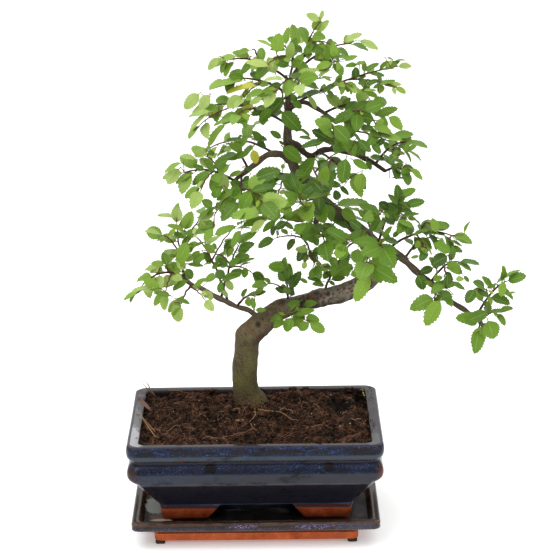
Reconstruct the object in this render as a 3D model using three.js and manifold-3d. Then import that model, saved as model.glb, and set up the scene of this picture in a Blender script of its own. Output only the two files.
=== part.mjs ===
// Bonsai tree with an S-shaped trunk in a glazed rectangular pot on a drip tray.
// Millimetres, +Z up. Every place below is measured from the middle of the pot,
// with z = 0 on the underside of the rubber pads that the tray stands on.
import * as THREE from 'three';
import { mergeVertices } from 'three/addons/utils/BufferGeometryUtils.js';
import Module from 'manifold-3d';

const wasm = await Module();
wasm.setup();

// Driving dimensions
const gap = 0.3;                 // clearance between pieces that touch
const potHalf = [100, 75];       // half length and half depth at the rim
const rimTop = 85;
const potFloor = 31.6;           // underside of the pot between its feet
const floorThickness = 6.5;
const footHalf = [76, 58.5];     // outside of the feet where they leave the pot
const footThickness = 12;
const footGap = { front: [27, 38], side: [18, 27] };   // half gaps, at top and bottom
const drainHole = { x: 42, radius: 7 };
const meshSheet = { half: 11, thickness: 1.2, hole: 3.6, pitch: 5.4 };
const trayHalf = [97, 75];
const trayTop = 22.1;
const trayWell = 18.1;           // floor that the pot's feet stand on
const trayBase = 2.6;            // underside of the unglazed base
const trayBaseHalf = [80, 62];
const padHalf = 3.8;
const padPlace = [75.4, 57.4];
const soilEdge = 81.5;           // soil level along the wall of the pot
const soilBottom = potFloor + floorThickness + gap;
const cornerRadius = 7;
const petiole = 2.4;             // stalk between a twig and its leaf blade
const bladeThickness = 1.1;      // at the midrib, thinning to a sharp margin
const midribShare = 0.42;        // thickest place of a blade, as a share of its length
const seatHalf = 0.9;            // half length of the place where a leaf meets its twig
const lastShare = 0.97;          // share of a twig's length where its last leaf sits
const longestStep = 0.3;         // share of a twig's length between its rings
const weld = 0.004;              // faces thinner than this are closed up
const twig = { main: [1.25, 0.85], side: [1.0, 0.75] };   // radius at root and at tip

// Trunk and bare limbs: x, y, z and radius at points along each
const limbs = {
  trunk: [
    [-3, 30, 69, 9], [-3, 30, 79, 10.5], [-4, 30, 86, 12.5], [-7, 30, 94, 10.8], [-8, 29, 108, 9.7],
    [-6, 27, 135, 9.2], [-3, 26, 145, 9.8], [7, 26, 154, 9.2], [15, 27, 161, 8.2], [26, 28, 166, 7.3],
    [38, 28, 170, 6.5], [50, 26, 173, 7.1], [63, 24, 177, 7], [74, 22, 181, 7.1], [86, 22, 187, 6.8],
    [96, 24, 194, 6.5], [101, 28, 204, 6.3], [97, 31, 215, 6], [87, 32, 226, 5.7], [76, 31, 236, 5.4],
    [66, 29, 244, 5.2], [55, 27, 254, 4.9], [44, 26, 266, 4.6], [34, 26, 280, 4.3], [30, 26, 293, 4],
    [28, 26, 307, 3.6], [29, 27, 321, 3.2], [29, 28, 333, 2.8], [28, 28, 343, 2.1],
  ],
  leftLow: [
    [7, 27, 155, 3.2], [-4, 24, 165, 2.9], [-14, 19, 170, 2.5], [-22, 13, 176, 2.3], [-29, 8, 181, 2.1],
    [-39, 2, 189, 1.9], [-50, -3, 196, 1.7], [-56, -6, 203, 1.5],
  ],
  rightLow: [
    [100, 31, 213, 3.4], [109, 22, 215, 3.2], [118, 13, 210, 2.9], [129, 5, 201, 2.6], [141, -1, 192, 2.3],
    [152, -6, 182, 2.1], [167, -11, 173, 1.8], [179, -14, 164, 1.5],
  ],
  leftMid: [
    [29, 26, 289, 3], [22, 20, 294, 2.7], [12, 13, 295, 2.5], [2, 6, 289, 2.2], [-6, 1, 284, 1.9],
    [-14, -5, 279, 1.5],
  ],
  rightMid: [
    [28, 26, 302, 2.8], [35, 30, 299, 2.7], [41, 34, 292, 2.5], [47, 37, 288, 2.4], [54, 38, 292, 2.3],
    [62, 39, 293, 2.2], [74, 39, 291, 2.1], [84, 37, 288, 2], [94, 34, 284, 1.8], [105, 30, 277, 1.5],
  ],
  upperRight: [[29, 27, 329, 2.2], [40, 22, 335, 1.9], [53, 15, 330, 1.7], [66, 8, 321, 1.5]],
  hanging: [[64, 30, 245, 2.6], [52, 24, 242, 2.3], [48, 19, 234, 1.9], [37, 14, 231, 1.5]],
  apex: [[29, 28, 338, 2.1], [31, 26, 352, 1.8], [39, 22, 364, 1.5]],
  stub: [[99, 28, 207, 3.6], [108, 22, 206, 3.4], [113, 19, 205, 3.1]],
};
const trunkSides = 12;
const limbSides = 6;
const crownAxis = [45, 28];
const rootLobes = { count: 5, depth: 0.3, turn: 0.6, height: 86, reach: 13 };   // buttress roots
const knots = [[20, 27, 168, 4.6], [51, 25, 179, 4.4], [-12, 27, 137, 4.2], [70, 24, 172, 3.6]];

// Leafy shoots. Each spray grows from a limb: [from, share of its length, tip, lift, leaves, leaf length].
// Its first shoot is its main one, and the others grow from that.
const sprays = {
  spray_left_tip: [
    ['leftLow', 1, [-86, -22, 201], 6, 6, 16], ['main', 0.35, [-71, -2, 217], 3, 3, 14],
    ['main', 0.25, [-68, -34, 197], 2, 3, 13],
  ],
  spray_left_hanging: [['leftLow', 0.8, [-56, -28, 187], 5, 3, 14], ['main', 0.4, [-38, -34, 192], 2, 2, 12]],
  spray_left_rising: [
    ['leftLow', 0.93, [-60, 12, 240], -4, 7, 15], ['main', 0.55, [-37, 20, 248], 4, 4, 14],
    ['main', 0.5, [-70, -6, 236], 4, 3, 14],
  ],
  spray_left_middle: [
    ['leftLow', 0.52, [-12, 30, 217], 4, 7, 14], ['main', 0.5, [-1, 38, 192], 3, 3, 13],
    ['main', 0.55, [-30, 20, 213], 3, 3, 12],
  ],
  spray_left_under: [['leftLow', 0.28, [1, 0, 184], 4, 4, 10]],
  spray_mid_left_tip: [
    ['leftMid', 1, [-52, -18, 289], 5, 6, 16], ['main', 0.4, [-39, -34, 279], 3, 3, 15],
    ['main', 0.3, [-35, -4, 298], 3, 2, 13],
  ],
  spray_mid_left_up: [['leftMid', 0.72, [-20, 20, 303], 5, 5, 14], ['main', 0.5, [0, 34, 304], 4, 3, 13]],
  spray_mid_left_front: [
    ['leftMid', 0.85, [-9, -48, 263], 2, 6, 20], ['main', 0.45, [8, -58, 275], 4, 4, 20],
    ['main', 0.35, [-29, -44, 261], 3, 3, 16],
  ],
  spray_centre_left: [['trunk', 0.8, [12, -22, 285], 4, 5, 17], ['main', 0.5, [18, -44, 269], 2, 4, 19]],
  spray_centre_front: [['trunk', 0.72, [38, -40, 269], 6, 6, 19], ['main', 0.5, [53, -44, 284], 3, 3, 18]],
  spray_hanging_low: [['hanging', 1, [48, 4, 209], 3, 5, 12], ['main', 0.25, [18, 16, 227], 2, 2, 13]],
  spray_hanging_front: [['hanging', 0.6, [55, -38, 239], 5, 6, 18], ['main', 0.5, [38, -50, 257], 3, 3, 17]],
  spray_upper_left: [
    ['trunk', 0.915, [-32, 2, 337], 7, 6, 14], ['main', 0.5, [-39, -20, 327], 5, 4, 14],
    ['main', 0.35, [-10, -22, 335], 3, 3, 14],
  ],
  spray_upper_left_high: [['apex', 0.1, [-19, 16, 354], 6, 6, 13], ['main', 0.4, [-5, -8, 345], 2, 3, 13]],
  spray_top_left: [['apex', 0.45, [-19, 32, 367], 7, 6, 13], ['main', 0.5, [1, 24, 376], 4, 3, 12]],
  spray_apex: [['apex', 1, [48, 20, 390], 2, 5, 13], ['main', 0.5, [61, 8, 383], 3, 3, 12]],
  spray_apex_left: [['apex', 0.8, [26, 26, 379], 3, 5, 14], ['main', 0.4, [13, 6, 368], 3, 3, 13]],
  spray_top_right: [['apex', 0.6, [77, 26, 380], 6, 6, 14], ['main', 0.5, [64, 4, 370], 3, 3, 13]],
  spray_apex_front: [['apex', 0.3, [37, -26, 359], 6, 6, 15], ['main', 0.5, [19, -30, 354], 3, 3, 14]],
  spray_fine_right: [
    ['trunk', 0.955, [113, 4, 366], 4, 10, 9], ['main', 0.55, [110, -10, 353], 2, 6, 8],
    ['main', 0.4, [77, -14, 354], 3, 6, 9],
  ],
  spray_upper_right: [['upperRight', 1, [88, -14, 334], 4, 6, 16], ['main', 0.3, [71, -22, 314], 2, 4, 16]],
  spray_upper_right_tip: [
    ['upperRight', 0.75, [106, 14, 325], 8, 7, 15], ['main', 0.6, [98, -8, 317], 3, 3, 15],
  ],
  spray_mid_right: [['rightMid', 0.92, [121, 22, 302], 5, 6, 14], ['main', 0.5, [114, 2, 296], 2, 3, 13]],
  spray_mid_right_tip: [['rightMid', 1, [122, 20, 278], 3, 5, 12]],
  spray_mid_right_front: [
    ['rightMid', 0.55, [77, -22, 308], 6, 5, 17], ['main', 0.5, [62, -26, 321], 3, 3, 16],
  ],
  spray_right_hanging: [['rightMid', 0.42, [76, -4, 280], 3, 4, 19], ['main', 0.4, [59, -6, 285], 2, 2, 19]],
  spray_right_centre: [
    ['trunk', 0.6, [114, 10, 255], 8, 6, 15], ['main', 0.5, [94, -18, 254], 4, 3, 17],
    ['main', 0.7, [121, -2, 245], 3, 3, 14],
  ],
  spray_centre_big: [
    ['trunk', 0.585, [87, -50, 225], 8, 6, 21], ['main', 0.6, [100, -46, 235], 3, 3, 21],
    ['main', 0.45, [71, -44, 238], 4, 3, 19],
  ],
  spray_centre_low: [['trunk', 0.63, [66, -22, 217], 6, 4, 15]],
  spray_right_rising: [
    ['rightLow', 0.12, [157, 18, 227], 8, 7, 15], ['main', 0.5, [140, 24, 235], 4, 4, 14],
    ['main', 0.4, [137, -4, 220], 3, 3, 14],
  ],
  spray_right_knee: [['rightLow', 0.55, [161, 2, 210], 5, 5, 14], ['main', 0.5, [150, -16, 194], 3, 3, 13]],
  spray_right_big: [['rightLow', 0.6, [141, -24, 186], 3, 3, 21]],
  spray_right_end: [['rightLow', 0.93, [197, -18, 199], 5, 6, 14], ['main', 0.4, [180, -30, 196], 3, 3, 13]],
  spray_right_end_low: [['rightLow', 1, [175, -30, 163], 4, 4, 17], ['main', 0.4, [190, -26, 177], 2, 3, 12]],
  spray_knot: [['trunk', 0.405, [67, 18, 203], 4, 6, 13], ['main', 0.5, [51, 6, 208], 3, 3, 12]],
  spray_burl: [['trunk', 0.325, [26, 16, 199], 3, 6, 14], ['main', 0.35, [11, 4, 193], 2, 3, 12]],
  spray_under_bend: [['trunk', 0.355, [40, 0, 164], 2, 4, 13], ['main', 0.3, [24, -8, 168], 2, 3, 11]],
  spray_back_left: [['leftMid', 0.3, [-34, 86, 285], 8, 6, 16], ['main', 0.5, [0, 100, 300], 3, 3, 15]],
  spray_back_left_low: [['leftLow', 0.4, [-46, 62, 216], 8, 6, 15], ['main', 0.5, [-14, 74, 222], 3, 3, 14]],
  spray_back_centre: [['trunk', 0.745, [44, 104, 268], 8, 6, 18], ['main', 0.5, [78, 94, 282], 3, 3, 16]],
  spray_back_right: [['rightMid', 0.55, [96, 100, 296], 7, 6, 16], ['main', 0.5, [126, 78, 282], 3, 3, 15]],
  spray_back_upper: [['trunk', 0.9, [22, 88, 334], 8, 6, 15], ['main', 0.5, [54, 82, 342], 3, 3, 14]],
  spray_back_high: [['apex', 0.2, [36, 72, 374], 5, 5, 13]],
  spray_back_low: [['trunk', 0.565, [88, 98, 228], 8, 6, 17], ['main', 0.5, [118, 84, 240], 3, 3, 16]],
  spray_back_right_low: [['rightLow', 0.3, [150, 58, 214], 7, 5, 15]],
};

// Rules of growth: ranges that each leaf draws from, angles in degrees
const growth = {
  firstLeaf: 0.28,               // share of the shoot's length where its leaves start
  leafyPart: 0.57,               // share of its length that the side leaves stand on
  length: [0.86, 1.14],          // of the spray's leaf length
  firstLength: 0.85,             // the first leaf of a shoot is smaller
  width: [0.54, 0.64],           // of the leaf's length
  angle: 66,                     // between a shoot and its side leaves, less towards its tip
  angleFall: 16,
  angleSpread: [-9, 9],
  endAngle: [-14, 14],
  sag: [0.05, 0.4],              // how far leaves point down
  lean: 0.3,                     // how far they face away from the common way
  droop: [0.04, 0.18],           // fall of the tip, of the leaf's length
  facing: { up: 0.6, outward: 0.42, front: 0.38 },
  fold: 0.1,                     // rise of the margin above the midrib, of the half width
};

// Materials
const finish = {
  glaze: new THREE.MeshStandardMaterial({ color: '#232b3f', roughness: 0.22, metalness: 0 }),
  trayGlaze: new THREE.MeshStandardMaterial({ color: '#2b2526', roughness: 0.25, metalness: 0 }),
  rubber: new THREE.MeshStandardMaterial({ color: '#1a1a1a', roughness: 0.8, metalness: 0 }),
  netting: new THREE.MeshStandardMaterial({ color: '#2c2c2a', roughness: 0.6, metalness: 0 }),
  soil: new THREE.MeshStandardMaterial({ color: '#3b2619', roughness: 0.95, metalness: 0 }),
  bark: new THREE.MeshStandardMaterial({ color: '#6a5c48', roughness: 0.85, metalness: 0 }),
  leaf: new THREE.MeshStandardMaterial({ color: '#5f9632', roughness: 0.42, metalness: 0 }),
};

// Vectors and solids
const vec = (x, y, z) => new THREE.Vector3(x, y, z);
const up = vec(0, 0, 1);
const front = vec(0, -1, 0);
const degree = Math.PI / 180;

function solidOf(points, triangles) {
  const vertProperties = new Float32Array(points.flatMap((p) => [p.x, p.y, p.z]));
  return new wasm.Manifold(new wasm.Mesh({ numProp: 3, vertProperties, triVerts: new Uint32Array(triangles) }));
}

function solidFromGeometry(geometry) {
  geometry.deleteAttribute('normal');
  geometry.deleteAttribute('uv');
  const merged = mergeVertices(geometry, 1e-4);
  const points = [];
  for (let i = 0; i < merged.attributes.position.count; i += 1) {
    points.push(vec().fromBufferAttribute(merged.attributes.position, i));
  }
  return solidOf(points, Array.from(merged.index.array));
}

function meshOf(solid, name, material) {
  const { vertProperties, triVerts, numProp } = solid.getMesh();
  const positions = [];
  for (let i = 0; i < vertProperties.length; i += numProp) {
    positions.push(vertProperties[i], vertProperties[i + 1], vertProperties[i + 2]);
  }
  const geometry = new THREE.BufferGeometry();
  geometry.setAttribute('position', new THREE.Float32BufferAttribute(positions, 3));
  geometry.setIndex(Array.from(triVerts));
  geometry.computeVertexNormals();
  const mesh = new THREE.Mesh(geometry, material);
  mesh.name = name;
  return mesh;
}

// Skin over a list of rings that have the same number of points, with flat ends
function loft(rings) {
  const count = rings[0].length;
  const triangles = [];
  for (let r = 0; r + 1 < rings.length; r += 1) {
    for (let i = 0; i < count; i += 1) {
      const a = r * count + i;
      const b = r * count + ((i + 1) % count);
      triangles.push(a, b, a + count, b, b + count, a + count);
    }
  }
  const top = (rings.length - 1) * count;
  for (let i = 1; i + 1 < count; i += 1) {
    triangles.push(0, i + 1, i, top, top + i, top + i + 1);
  }
  return solidOf(rings.flat(), triangles);
}

// Rounded rectangle at height z, anticlockwise, with extra points along its sides
function rectangleRing(halfX, halfY, z, radius, arcSteps = 3, sidePoints = 0) {
  const points = [];
  const corners = [[1, 1], [-1, 1], [-1, -1], [1, -1]];
  for (let q = 0; q < 4; q += 1) {
    const [sx, sy] = corners[q];
    for (let i = 0; i <= arcSteps; i += 1) {
      const angle = (q + i / arcSteps) * Math.PI / 2;
      points.push(vec(
        sx * (halfX - radius) + radius * Math.cos(angle),
        sy * (halfY - radius) + radius * Math.sin(angle),
        z,
      ));
    }
    const [nx, ny] = corners[(q + 1) % 4];
    const quarter = (q + 1) * Math.PI / 2;
    const start = points[points.length - 1];
    const end = vec(
      nx * (halfX - radius) + radius * Math.cos(quarter),
      ny * (halfY - radius) + radius * Math.sin(quarter),
      z,
    );
    for (let i = 1; i <= sidePoints; i += 1) {
      points.push(start.clone().lerp(end, i / (sidePoints + 1)));
    }
  }
  return points;
}

// Rings of a vessel: each row is inset in x, inset in y, z and corner radius
const vesselRings = (half, rows) => rows.map(
  ([insetX, insetY, z, radius]) => rectangleRing(half[0] - insetX, half[1] - insetY, z, radius),
);

// Pot: one fired piece with a rounded band under the rim, a belly, a tapered foot and four corner feet
function makePot() {
  const taper = [potHalf[0] - footHalf[0], potHalf[1] - footHalf[1]];
  const wallFoot = potFloor + floorThickness;
  const body = loft(vesselRings(potHalf, [
    [taper[0] + 4, taper[1] + 4, potFloor, 4],
    [taper[0], taper[1], potFloor, 6],
    [6.5, 3.4, 52.6, cornerRadius],
    [3, 2, 54.4, cornerRadius + 1],
    [0.8, 0.7, 57.6, cornerRadius + 1],
    [0.5, 0.5, 62, cornerRadius + 1],
    [1.6, 1.6, 67, cornerRadius + 1],
    [4.4, 4.2, 69.6, cornerRadius],
    [4.7, 4.5, 71.2, cornerRadius],
    [2.2, 2.1, 72.8, cornerRadius],
    [0.6, 0.6, 75.4, cornerRadius],
    [0, 0, 80, cornerRadius],
    [0.5, 0.5, 83.4, cornerRadius],
    [1.8, 1.8, rimTop - 0.3, cornerRadius],
    [4, 4, rimTop, 6],
    [8.4, 8.4, rimTop - 0.4, 4],
    [10, 10, rimTop - 2, 4],
    [11.5, 11, 68, 4],
    [16, 13, 53, 4],
    [taper[0] + 6, taper[1] + 6, wallFoot + 4, 4],
    [taper[0] + 10, taper[1] + 9, wallFoot, 4],
  ]));

  const footTop = potFloor + 0.6;
  const footBottom = trayWell + gap;
  const draft = 2.6;
  const skirt = loft([
    rectangleRing(footHalf[0] - draft, footHalf[1] - draft, footBottom, 6),
    rectangleRing(footHalf[0], footHalf[1], footTop, 6),
  ]);
  const inside = loft([
    rectangleRing(footHalf[0] - footThickness, footHalf[1] - footThickness, footBottom - 1, 3),
    rectangleRing(footHalf[0] - footThickness, footHalf[1] - footThickness, potFloor, 3),
  ]);
  const slot = ([top, bottom], length, turn) => {
    const outline = new THREE.Shape([
      new THREE.Vector2(-bottom, footBottom - 1),
      new THREE.Vector2(bottom, footBottom - 1),
      new THREE.Vector2(top, potFloor),
      new THREE.Vector2(-top, potFloor),
    ]);
    const prism = new THREE.ExtrudeGeometry(outline, { depth: 2 * length, bevelEnabled: false });
    prism.translate(0, 0, -length);
    prism.rotateX(Math.PI / 2);
    prism.rotateZ(turn);
    return solidFromGeometry(prism);
  };
  let pot = skirt.subtract(inside);
  pot = pot.subtract(slot(footGap.front, potHalf[1], 0)).subtract(slot(footGap.side, potHalf[0], Math.PI / 2));
  pot = body.add(pot);
  for (const side of [-1, 1]) {
    const drill = new THREE.CylinderGeometry(drainHole.radius, drainHole.radius, 3 * floorThickness, 16);
    drill.rotateX(Math.PI / 2);
    drill.translate(side * drainHole.x, 0, potFloor + floorThickness / 2);
    pot = pot.subtract(solidFromGeometry(drill));
  }
  return pot;
}

// Tray: a flat rim, a shallow well, and an unglazed base with a shallow recess under it
function makeTray() {
  const base = [trayHalf[0] - trayBaseHalf[0], trayHalf[1] - trayBaseHalf[1]];
  return loft(vesselRings(trayHalf, [
    [base[0] + 9.5, base[1] + 9.5, trayBase + 2, 3],
    [base[0] + 9.5, base[1] + 9.5, trayBase, 3],
    [base[0] + 0.6, base[1] + 0.6, trayBase, 5],
    [base[0], base[1], trayBase + 0.8, 5],
    [base[0], base[1], 8.6, 5],
    [base[0] - 2.5, base[1] - 2, 10.6, 5],
    [8, 6, 13.2, 5],
    [1.4, 1.4, 15.4, 5],
    [0, 0, 16.4, 5],
    [0, 0, trayTop - 1, 5],
    [1, 1, trayTop, 4.5],
    [5.4, 5.4, trayTop, 4],
    [7, 7, trayTop - 1, 4],
    [9.4, 9.4, trayWell + 0.7, 4],
    [11, 11, trayWell, 4],
  ]));
}

function makePad(x, y) {
  const rings = [
    rectangleRing(padHalf - 0.5, padHalf - 0.5, 0, 1, 2),
    rectangleRing(padHalf, padHalf, 0.6, 1.4, 2),
    rectangleRing(padHalf, padHalf, trayBase - gap, 1.4, 2),
  ];
  return loft(rings.map((ring) => ring.map((p) => p.add(vec(x, y, 0)))));
}

// Square of netting that keeps the soil in over a drainage hole
function makeNetting(x) {
  const z = potFloor + floorThickness + gap + meshSheet.thickness / 2;
  const box = (halfX, halfY, halfZ, dx, dy) => {
    const block = new THREE.BoxGeometry(2 * halfX, 2 * halfY, 2 * halfZ);
    block.translate(x + dx, dy, z);
    return solidFromGeometry(block);
  };
  let sheet = box(meshSheet.half, meshSheet.half, meshSheet.thickness / 2, 0, 0);
  for (let column = -1; column <= 1; column += 1) {
    for (let row = -1; row <= 1; row += 1) {
      const hole = meshSheet.hole / 2;
      sheet = sheet.subtract(box(hole, hole, 5, column * meshSheet.pitch, row * meshSheet.pitch));
    }
  }
  return sheet;
}

// Height of the soil: level near the wall, a low mound round the trunk, and clods from three waves
function soilHeight(x, y) {
  const fromTrunk = Math.hypot(x - limbs.trunk[2][0], y - limbs.trunk[2][1]);
  const mound = 4.6 * Math.exp(-((fromTrunk / 30) ** 2));
  const clods = Math.sin(x * 0.21 + 1.3) * Math.cos(y * 0.19) + 0.7 * Math.sin(x * 0.13 - y * 0.31 + 2);
  return soilEdge + mound + 0.9 * clods;
}

function makeSoil(cutters) {
  const inner = [potHalf[0] - gap, potHalf[1] - gap];
  const side = (insetX, insetY, z) => rectangleRing(inner[0] - insetX, inner[1] - insetY, z, 4, 2, 4);
  const taper = [potHalf[0] - footHalf[0], potHalf[1] - footHalf[1]];
  const rings = [
    side(taper[0] + 10.4, taper[1] + 9.4, soilBottom),
    side(taper[0] + 6.4, taper[1] + 6.4, soilBottom + 4),
    side(16.6, 13.6, 53.4),
    side(12.1, 11.6, 68.4),
  ];
  const surface = side(11.4, 11.1, 0);
  rings.push(surface.map((p) => vec(p.x, p.y, soilEdge - 0.6)));
  for (const share of [0.85, 0.68, 0.5, 0.32]) {
    rings.push(surface.map((p) => vec(p.x * share, p.y * share, soilHeight(p.x * share, p.y * share))));
  }
  const innermost = 0.13;
  rings.push(surface.map((p) => vec(p.x * innermost, p.y * innermost, soilHeight(0, 0))));
  return cutters.reduce((soil, cutter) => soil.subtract(cutter), loft(rings));
}

// Place, radius and heading at share t of a path of [x, y, z, radius] points
function along(path, t) {
  const last = path.length - 1;
  const at = Math.min(Math.max(t, 0), 1) * last;
  const i = Math.min(Math.floor(at), last - 1);
  const f = at - i;
  const p = [path[Math.max(i - 1, 0)], path[i], path[i + 1], path[Math.min(i + 2, last)]];
  const value = [0, 1, 2, 3].map((k) => {
    const [a, b, c, d] = p.map((point) => point[k]);
    return 0.5 * (2 * b + (c - a) * f + (2 * a - 5 * b + 4 * c - d) * f * f
      + (3 * b - a - 3 * c + d) * f * f * f);
  });
  const slope = [0, 1, 2].map((k) => {
    const [a, b, c, d] = p.map((point) => point[k]);
    return 0.5 * ((c - a) + 2 * (2 * a - 5 * b + 4 * c - d) * f + 3 * (3 * b - a - 3 * c + d) * f * f);
  });
  return { place: vec(...value.slice(0, 3)), radius: value[3], heading: vec(...slope).normalize() };
}

// Round stem along a path. Its first side direction is carried along, so it doesn't twist.
function stem(path, sides, steps, extra = 0, shape = () => 1) {
  const rings = [];
  let side = null;
  for (let s = 0; s <= steps; s += 1) {
    const { place, radius, heading } = along(path, s / steps);
    if (side === null) {
      side = Math.abs(heading.z) > 0.8 ? vec(1, 0, 0) : vec(0, 0, 1);
    }
    side = side.clone().addScaledVector(heading, -side.dot(heading)).normalize();
    const other = heading.clone().cross(side);
    const shift = s === 0 ? -extra : (s === steps ? extra : 0);
    const centre = place.clone().addScaledVector(heading, shift);
    const ring = [];
    for (let i = 0; i < sides; i += 1) {
      const angle = 2 * Math.PI * i / sides;
      const reach = (radius + extra) * shape(angle, place.z);
      ring.push(centre.clone()
        .addScaledVector(side, reach * Math.cos(angle))
        .addScaledVector(other, reach * Math.sin(angle)));
    }
    rings.push(ring);
  }
  return loft(rings);
}

// Trunk, limbs and knots in one body, grown by extra all round
function makeWood(extra = 0) {
  const lobed = (angle, z) => {
    const nearness = Math.max(1 - Math.abs(z - rootLobes.height) / rootLobes.reach, 0);
    return 1 + rootLobes.depth * nearness * Math.cos(rootLobes.count * angle + rootLobes.turn);
  };
  let wood = null;
  for (const [name, path] of Object.entries(limbs)) {
    const isTrunk = name === 'trunk';
    const sides = isTrunk ? trunkSides : limbSides;
    const limb = stem(path, sides, path.length - 1, extra, isTrunk ? lobed : undefined);
    wood = wood === null ? limb : wood.add(limb);
  }
  for (const [x, y, z, radius] of knots) {
    const knot = new THREE.IcosahedronGeometry(radius + extra, 0);
    knot.translate(x, y, z);
    wood = wood.add(solidFromGeometry(knot));
  }
  return wood;
}

// Seeded random numbers
let seed = 4127;
function draw(low, high) {
  seed = (seed * 16807) % 2147483647;
  return low + (high - low) * (seed / 2147483647);
}

// Shoots: a path from its root on the parent to its tip, bowed upwards by its lift
function growShoots() {
  const shoots = [];
  for (const [spray, rows] of Object.entries(sprays)) {
    let main = null;
    for (const [from, share, tip, lift, leaves, leafLength] of rows) {
      const root = along(from === 'main' ? main : limbs[from], share).place;
      const [thick, thin] = from === 'main' ? twig.side : twig.main;
      const steps = from === 'main' ? 2 : 3;
      const path = [];
      for (let s = 0; s <= steps; s += 1) {
        const f = s / steps;
        const place = root.clone().lerp(vec(...tip), f).addScaledVector(up, 4 * lift * f * (1 - f));
        path.push([place.x, place.y, place.z, thick + (thin - thick) * f]);
      }
      main = from === 'main' ? main : path;
      const side = vec(...tip).sub(root).normalize().cross(facingAt(root));
      shoots.push({ spray, path, leaves, leafLength, side: side.length() > 0.3 ? side : vec(0, 1, 0) });
    }
  }
  return shoots;
}

const rightOf = (heading, side) => side.clone().addScaledVector(heading, -side.dot(heading)).normalize();

// A leaf's own axes: direction runs to its tip, normal stands on its upper face
function makeLeaf(base, direction, normal, length, width, droop) {
  const side = direction.clone().cross(normal);
  const at = (across, share) => base.clone()
    .addScaledVector(direction, petiole + share * length)
    .addScaledVector(side, across * width / 2)
    .addScaledVector(normal, leafHeight(across, share, width, length, droop));
  const outline = [
    [0, 0], [0.85, 0.25], [1, 0.55], [0.6, 0.85], [0, 1], [-0.6, 0.85], [-1, 0.55], [-0.85, 0.25],
  ];
  return {
    base, direction, normal, side, length, width, droop,
    centre: at(0, 0.5),
    rim: outline.map(([across, share]) => at(across, share)),
  };
}

// The blade droops with the square of the way to its tip and is folded up along its midrib
function leafHeight(across, share, width, length, droop) {
  return growth.fold * width * Math.abs(across) - droop * length * share * share;
}

// Whether a point or a line from p to q meets the leaf's blade, taken as a flat oval
function meetsBlade(leaf, p, q, margin) {
  const local = (point) => {
    const d = point.clone().sub(leaf.centre);
    return [d.dot(leaf.side), d.dot(leaf.direction), d.dot(leaf.normal)];
  };
  const inside = (x, y) => (x / (0.54 * leaf.width + 0.4)) ** 2 + (y / (0.54 * leaf.length + 0.4)) ** 2 < 1;
  const a = local(p);
  const b = local(q);
  if (Math.abs(a[2]) < margin && inside(a[0], a[1])) {
    return true;
  }
  if (a[2] * b[2] > 0) {
    return false;
  }
  const f = a[2] / (a[2] - b[2] || 1);
  return inside(a[0] + (b[0] - a[0]) * f, a[1] + (b[1] - a[1]) * f);
}

function leavesCross(a, b) {
  if (a.centre.distanceTo(b.centre) > 0.55 * (a.length + b.length) + 1) {
    return false;
  }
  return a.rim.some((p, i) => meetsBlade(b, p, a.rim[(i + 1) % a.rim.length], 0.7))
    || b.rim.some((p, i) => meetsBlade(a, p, b.rim[(i + 1) % b.rim.length], 0.7));
}

function distanceToSegment(point, p, q) {
  const way = q.clone().sub(p);
  const f = Math.min(Math.max(point.clone().sub(p).dot(way) / way.lengthSq(), 0), 1);
  return point.distanceTo(p.clone().addScaledVector(way, f));
}

// Whether a leaf meets a twig other than its own
function hitsTwig(leaf, shoots) {
  const reach = leaf.length / 2 + petiole;
  return shoots.some((shoot) => shoot !== leaf.shoot && shoot.path.slice(1).some((end, i) => {
    const [p, q, radius] = [vec(...shoot.path[i].slice(0, 3)), vec(...end.slice(0, 3)), shoot.path[i][3]];
    if (distanceToSegment(leaf.centre, p, q) > reach + radius + 1) {
      return false;
    }
    return meetsBlade(leaf, p, q, 0) || leaf.rim.some((point) => distanceToSegment(point, p, q) < radius + 0.3);
  }));
}

// Turns tried for a leaf that is in the way: roll about its length, then pitch, in degrees
const turns = [
  [0, 0], [24, 0], [-24, 0], [0, 20], [0, -20], [24, 20], [-24, 20], [24, -20], [-24, -20],
  [45, 0], [-45, 0], [0, 40], [0, -40], [45, 35], [-45, 35], [45, -35], [-45, -35], [70, 0], [-70, 0],
];

// Leaves and shoots face up, outwards and a little towards the front
function facingAt(place) {
  const outward = vec(place.x - crownAxis[0], place.y - crownAxis[1], 0).normalize();
  return up.clone().multiplyScalar(growth.facing.up)
    .addScaledVector(outward, growth.facing.outward)
    .addScaledVector(front, growth.facing.front)
    .normalize();
}

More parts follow.
